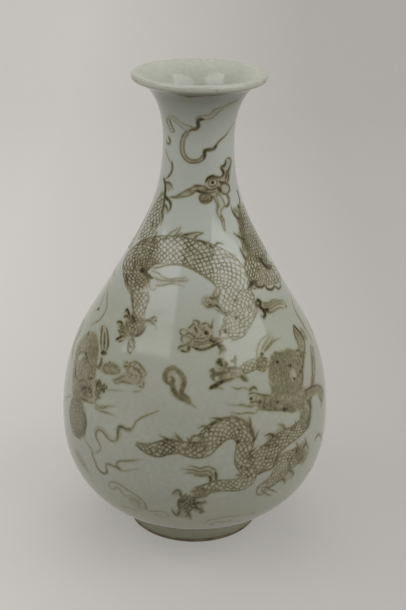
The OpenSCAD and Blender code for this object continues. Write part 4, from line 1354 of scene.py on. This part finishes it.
clay_ring = np.repeat(clay_path, clay_columns, axis=0)
coat_vertices = np.vstack([coat_vertices, set_round(clay_ring[:, 0], clay_ring[:, 1], clay_turns)])
coat_normals = np.vstack([coat_normals, set_round(clay_normal[:, 0], clay_normal[:, 1], clay_turns)])

# How the glaze's colour shifts up the vase: from and to a height, the share at each, and the colour.
# Painted light makes it paler low on the belly and up the neck. It is darker from the upper belly up,
# and darker still under the flare and at the foot, as painted shade; the foot's shade is brownish, and
# a little of that brown reaches the whole vase. The lip is paler, where the glaze runs thin and as a
# painted highlight.
painted_light_and_glaze_shifts = (
    (34, 64, 0.8, 0, "#ABAE97"), (2, 11, 0.75, 0.2, "#65614A"), (115, 150, 0, 0.6, "#8C8F82"),
    (172, 205, 0, 0.65, "#A2A69F"), (278, 308, 0, 0.75, "#7E8076"), (312, 318, 0, 0.8, "#A6A69A"))
depth_patch = 45
mottle_grain = 3
speck_spacing = 16
throwing_ring = 14
iron_speck = "#3E362A"
thin_pigment = "#767157"
thick_pigment = "#2C2712"


def porcelain_glaze(name, shallow, deep, painted):
    """Dipped and fired porcelain glaze: a glassy coat over pale clay, grey-green from a trace of iron
    and a little uneven in depth, with a soft gloss, faint throwing rings and a few iron specks. The
    pigment under a painted one shows brown where it is thin and olive black where it is thick."""
    material = new_material(name)
    place = add_node(material, "ShaderNodeTexCoord").outputs["Object"]
    clouds = add_node(material, "ShaderNodeTexNoise", {
        "Vector": place, "Scale": per_metre(depth_patch), "Detail": 3})
    mottle = add_node(material, "ShaderNodeTexNoise", {
        "Vector": place, "Scale": per_metre(mottle_grain), "Detail": 2})
    depth = add_node(material, "ShaderNodeMapRange", {
        "Value": clouds.outputs["Fac"], "From Min": 0.3, "From Max": 0.7})
    glassy = add_node(material, "ShaderNodeMix", {
        0: depth.outputs["Result"], 6: linear(deep), 7: linear(shallow)}, data_type="RGBA")
    uneven = add_node(material, "ShaderNodeMapRange", {
        "Value": mottle.outputs["Fac"], "From Min": 0.3, "From Max": 0.7, "To Min": 0.94, "To Max": 1.04})
    colour = add_node(material, "ShaderNodeVectorMath", {
        0: glassy.outputs[2], 1: uneven.outputs["Result"]}, operation="MULTIPLY").outputs["Vector"]
    grains = add_node(material, "ShaderNodeTexVoronoi", {"Vector": place, "Scale": per_metre(speck_spacing)})
    iron = add_node(material, "ShaderNodeMapRange", {
        "Value": grains.outputs["Distance"], "From Min": 0.015, "From Max": 0.03,
        "To Min": 0.7, "To Max": 0.0})
    colour = add_node(material, "ShaderNodeMix", {
        0: iron.outputs["Result"], 6: colour, 7: linear(iron_speck)}, data_type="RGBA").outputs[2]
    if painted:
        rise = add_node(material, "ShaderNodeSeparateXYZ", {"Vector": place}).outputs["Z"]
        # Bands up the vase: painted light and painted shade, a brownish tint, and thin glaze on the lip
        for low, high, at_low, at_high, tint in painted_light_and_glaze_shifts:
            share = add_node(material, "ShaderNodeMapRange", {
                "Value": rise, "From Min": low * millimetre, "From Max": high * millimetre,
                "To Min": at_low, "To Max": at_high})
            colour = add_node(material, "ShaderNodeMix", {
                0: share.outputs["Result"], 6: colour, 7: linear(tint)}, data_type="RGBA").outputs[2]
        pigment = add_node(material, "ShaderNodeAttribute", attribute_name="ink")
        thin = add_node(material, "ShaderNodeMapRange", {
            "Value": pigment.outputs["Fac"], "From Min": 0.0, "From Max": 0.45})
        thick = add_node(material, "ShaderNodeMapRange", {
            "Value": pigment.outputs["Fac"], "From Min": 0.35, "From Max": 1.0})
        brown = add_node(material, "ShaderNodeMix", {
            0: thin.outputs["Result"], 6: colour, 7: linear(thin_pigment)}, data_type="RGBA")
        dark = add_node(material, "ShaderNodeMix", {
            0: thick.outputs["Result"], 6: brown.outputs[2], 7: linear(thick_pigment)}, data_type="RGBA")
        colour = dark.outputs[2]
    rings = add_node(material, "ShaderNodeMapping", {"Vector": place, "Scale": (0.12, 0.12, 1)})
    throwing = add_node(material, "ShaderNodeTexNoise", {
        "Vector": rings.outputs["Vector"], "Scale": per_metre(throwing_ring), "Detail": 1})
    peel = add_node(material, "ShaderNodeMath", {
        0: mottle.outputs["Fac"], 1: 0.08, 2: throwing.outputs["Fac"]}, operation="MULTIPLY_ADD")
    relief = add_node(material, "ShaderNodeBump", {
        "Height": peel.outputs["Value"], "Strength": 0.35, "Distance": 0.5 * millimetre})
    shader = add_node(material, "ShaderNodeBsdfPrincipled", {
        "Base Color": colour, "Roughness": 0.1, "IOR": 1.5, "Normal": relief.outputs["Normal"]})
    add_node(material, "ShaderNodeOutputMaterial", {"Surface": shader.outputs["BSDF"]})
    return material


painted_glaze = porcelain_glaze("grey_green_porcelain_glaze_over_painting", "#9EA194", "#96998E", True)
outer_coat = add_piece("painted_outer_coat", coat_vertices, coat_faces, coat_uv, painted_glaze, "glaze",
                       "outer_glaze")
outer_coat.data.attributes.new("ink", "FLOAT", "POINT").data.foreach_set(
    "value", np.concatenate([ink[in_use], np.zeros(len(clay_ring), np.float32)]))
outer_coat.data.normals_split_custom_set_from_vertices(coat_normals.tolist())

# Inner coat: the same glaze poured in and swilled round, from the lip's crest down to the floor.
# It is plain, a shade darker than the outer coat as painted shade in the mouth, and shows only in the
# mouth and a little way down the neck.
inner_columns = 192
inner_step = 1.5
inside_curve = resampled(body_curve, inner_step)
rise_share = (inside_curve[:, 1] - foot_height) / (flare_end[1] - foot_height)
wall = wall_at_foot + (wall_at_lip - wall_at_foot) * rise_share
clay_inside = inside_curve - outward(inside_curve) * (glaze_depth + wall)[:, None]
glaze_inside = inside_curve - outward(inside_curve) * (2 * glaze_depth + wall)[:, None]
inner_outline = np.vstack([
    [(0, clay_inside[0, 1])], clay_inside, lip_arc(wall_at_lip / 2, 180, 90), lip_arc(lip_round, 90, 180),
    glaze_inside[::-1][1:], [(0, glaze_inside[0, 1])]])
# A shade darker than the outer glaze: painted shade in the mouth
plain_glaze = porcelain_glaze("grey_green_porcelain_glaze", "#9B9D91", "#94968B", False)
add_piece("inner_coat", *turn(inner_outline, inner_columns), plain_glaze, "glaze", "inner_glaze")

# Base coat: glaze on the recessed base inside the foot ring and down the ring's inner wall.
# It thins out to nothing above the bare resting face.
base_columns = 128
base_pool = 1.5
base_thinning = 0.9 * glaze_depth
base_face = base_under - glaze_depth
base_corners = [(0, base_face), (ring_inside(base_under) - glaze_depth, base_face),
                (ring_inside(bare_band) - glaze_depth, bare_band), (ring_inside(bare_band), bare_band),
                (ring_inside(base_under), base_under), (0, base_under)]
base_outline = np.vstack([
    base_corners[:1], rounded(base_corners[1], base_corners[0], base_corners[2], base_pool),
    rounded(base_corners[2], base_corners[1], base_corners[3], base_thinning), base_corners[3:]])
add_piece("base_coat", *turn(base_outline, base_columns), plain_glaze, "glaze", "base_glaze")

# Floor and backdrop: one sweep of pale warm grey studio paper, rolled out flat under the vase and
# curved up behind it. Its colour and glow are painted darker to the right, as painted shade.
floor_half = 2.5
floor_back = 1.2
sweep_radius = 0.8
sweep_top = 1.6
pale_side = -0.22
dark_side = 0.2
sweep_path = ([(-floor_half, 0.0), (floor_back, 0.0)]
              + [(floor_back + sweep_radius * math.sin(a), sweep_radius * (1 - math.cos(a)))
                 for a in np.radians(np.arange(6, 91, 6))]
              + [(floor_back + sweep_radius, sweep_top)])
sweep_mesh = bpy.data.meshes.new("paper_sweep")
sweep_mesh.from_pydata([(x, y, z) for y, z in sweep_path for x in (-floor_half, floor_half)], [],
                       [(2 * i, 2 * i + 1, 2 * i + 3, 2 * i + 2) for i in range(len(sweep_path) - 1)])
sweep_mesh.shade_smooth()
# Matt studio paper gives an even pale grey with no gloss. To the camera and in the glaze's reflections
# it glows a little, so that its grey shows as it is and the vase's shadow stays soft.
paper = new_material("pale_grey_studio_paper")
paper_place = add_node(paper, "ShaderNodeTexCoord").outputs["Object"]
paper_across = add_node(paper, "ShaderNodeSeparateXYZ", {"Vector": paper_place})
paper_shade_fall = add_node(paper, "ShaderNodeMapRange", {
    "Value": paper_across.outputs["X"], "From Min": pale_side, "From Max": dark_side})
paper_colour = add_node(paper, "ShaderNodeMix", {
    0: paper_shade_fall.outputs["Result"], 6: linear("#8A8885"), 7: linear("#6E6C69")}, data_type="RGBA")
paper_glow = add_node(paper, "ShaderNodeMix", {
    0: paper_shade_fall.outputs["Result"], 6: linear("#8F8D89"), 7: linear("#868480")}, data_type="RGBA")
ray = add_node(paper, "ShaderNodeLightPath").outputs
seen = add_node(paper, "ShaderNodeMath", {
    0: ray["Is Camera Ray"], 1: ray["Is Glossy Ray"]}, operation="ADD").outputs["Value"]
paper_seen = add_node(paper, "ShaderNodeMix", {
    0: seen, 6: linear("#9C9995"), 7: paper_colour.outputs[2]}, data_type="RGBA")
paper_shader = add_node(paper, "ShaderNodeBsdfPrincipled", {
    "Base Color": paper_seen.outputs[2], "Roughness": 0.9, "Specular IOR Level": 0.1,
    "Emission Color": paper_glow.outputs[2], "Emission Strength": seen})
add_node(paper, "ShaderNodeOutputMaterial", {"Surface": paper_shader.outputs["BSDF"]})
sweep_mesh.materials.append(paper)
paper_sweep = bpy.data.objects.new("paper_sweep", sweep_mesh)
bpy.context.collection.objects.link(paper_sweep)


# Studio lights: a low, wide window on the left and a soft box high on each side, which the glaze
# mirrors, and large fills all round that it doesn't.
def soft_light(name, place, target, width, height, power, mirrored):
    """An oblong soft box at a place, aimed at a target, that the glaze mirrors or not."""
    lamp = bpy.data.lights.new(name, "AREA")
    lamp.shape = "RECTANGLE"
    lamp.size, lamp.size_y, lamp.energy = width, height, power
    light = bpy.data.objects.new(name, lamp)
    light.visible_glossy = mirrored
    aim = np.subtract(target, place)
    back = -aim / np.linalg.norm(aim)
    side = np.cross((0, 1, 0) if abs(back[2]) > 0.95 else (0, 0, 1), back)
    side /= np.linalg.norm(side)
    axes = Matrix(np.column_stack([side, np.cross(back, side), back]).tolist()).to_4x4()
    light.matrix_world = Matrix.Translation(place) @ axes
    bpy.context.collection.objects.link(light)


soft_light("left_window", (-1.31, -0.71, 0.97), (-0.89, 0.2, 0.97), 1.65, 0.13, 1.35, True)
soft_light("left_soft_box", (-0.72, -0.45, 1.38), (0, 0, 0.17), 1.1, 0.65, 4.5, True)
soft_light("right_soft_box", (0.85, -0.49, 1.1), (0, 0, 0.17), 1.2, 0.96, 6.4, True)
soft_light("left_fill", (-1.4, 0.1, 0.8), (0, 0, 0.17), 1.0, 1.0, 7.0, False)
soft_light("right_fill", (1.4, 0.1, 0.8), (0, 0, 0.17), 1.0, 1.0, 7.4, False)
soft_light("overhead_soft_box", (0, 0.1, 1.9), (0, 0, 0.15), 1.4, 1.4, 5.0, False)
soft_light("front_fill", (0, -1.6, 0.9), (0, 0, 0.2), 1.6, 1.2, 8.0, False)
soft_light("backdrop_soft_box", (0, 1.6, 2.2), (0, 1.8, 0), 2.0, 2.0, 32.0, False)
world = bpy.data.worlds.new("studio_room")
world.use_nodes = True
world.node_tree.nodes["Background"].inputs["Color"].default_value = linear("#E6E4E0")
world.node_tree.nodes["Background"].inputs["Strength"].default_value = 0.4
bpy.context.scene.world = world
bpy.context.scene.view_settings.view_transform = "Standard"
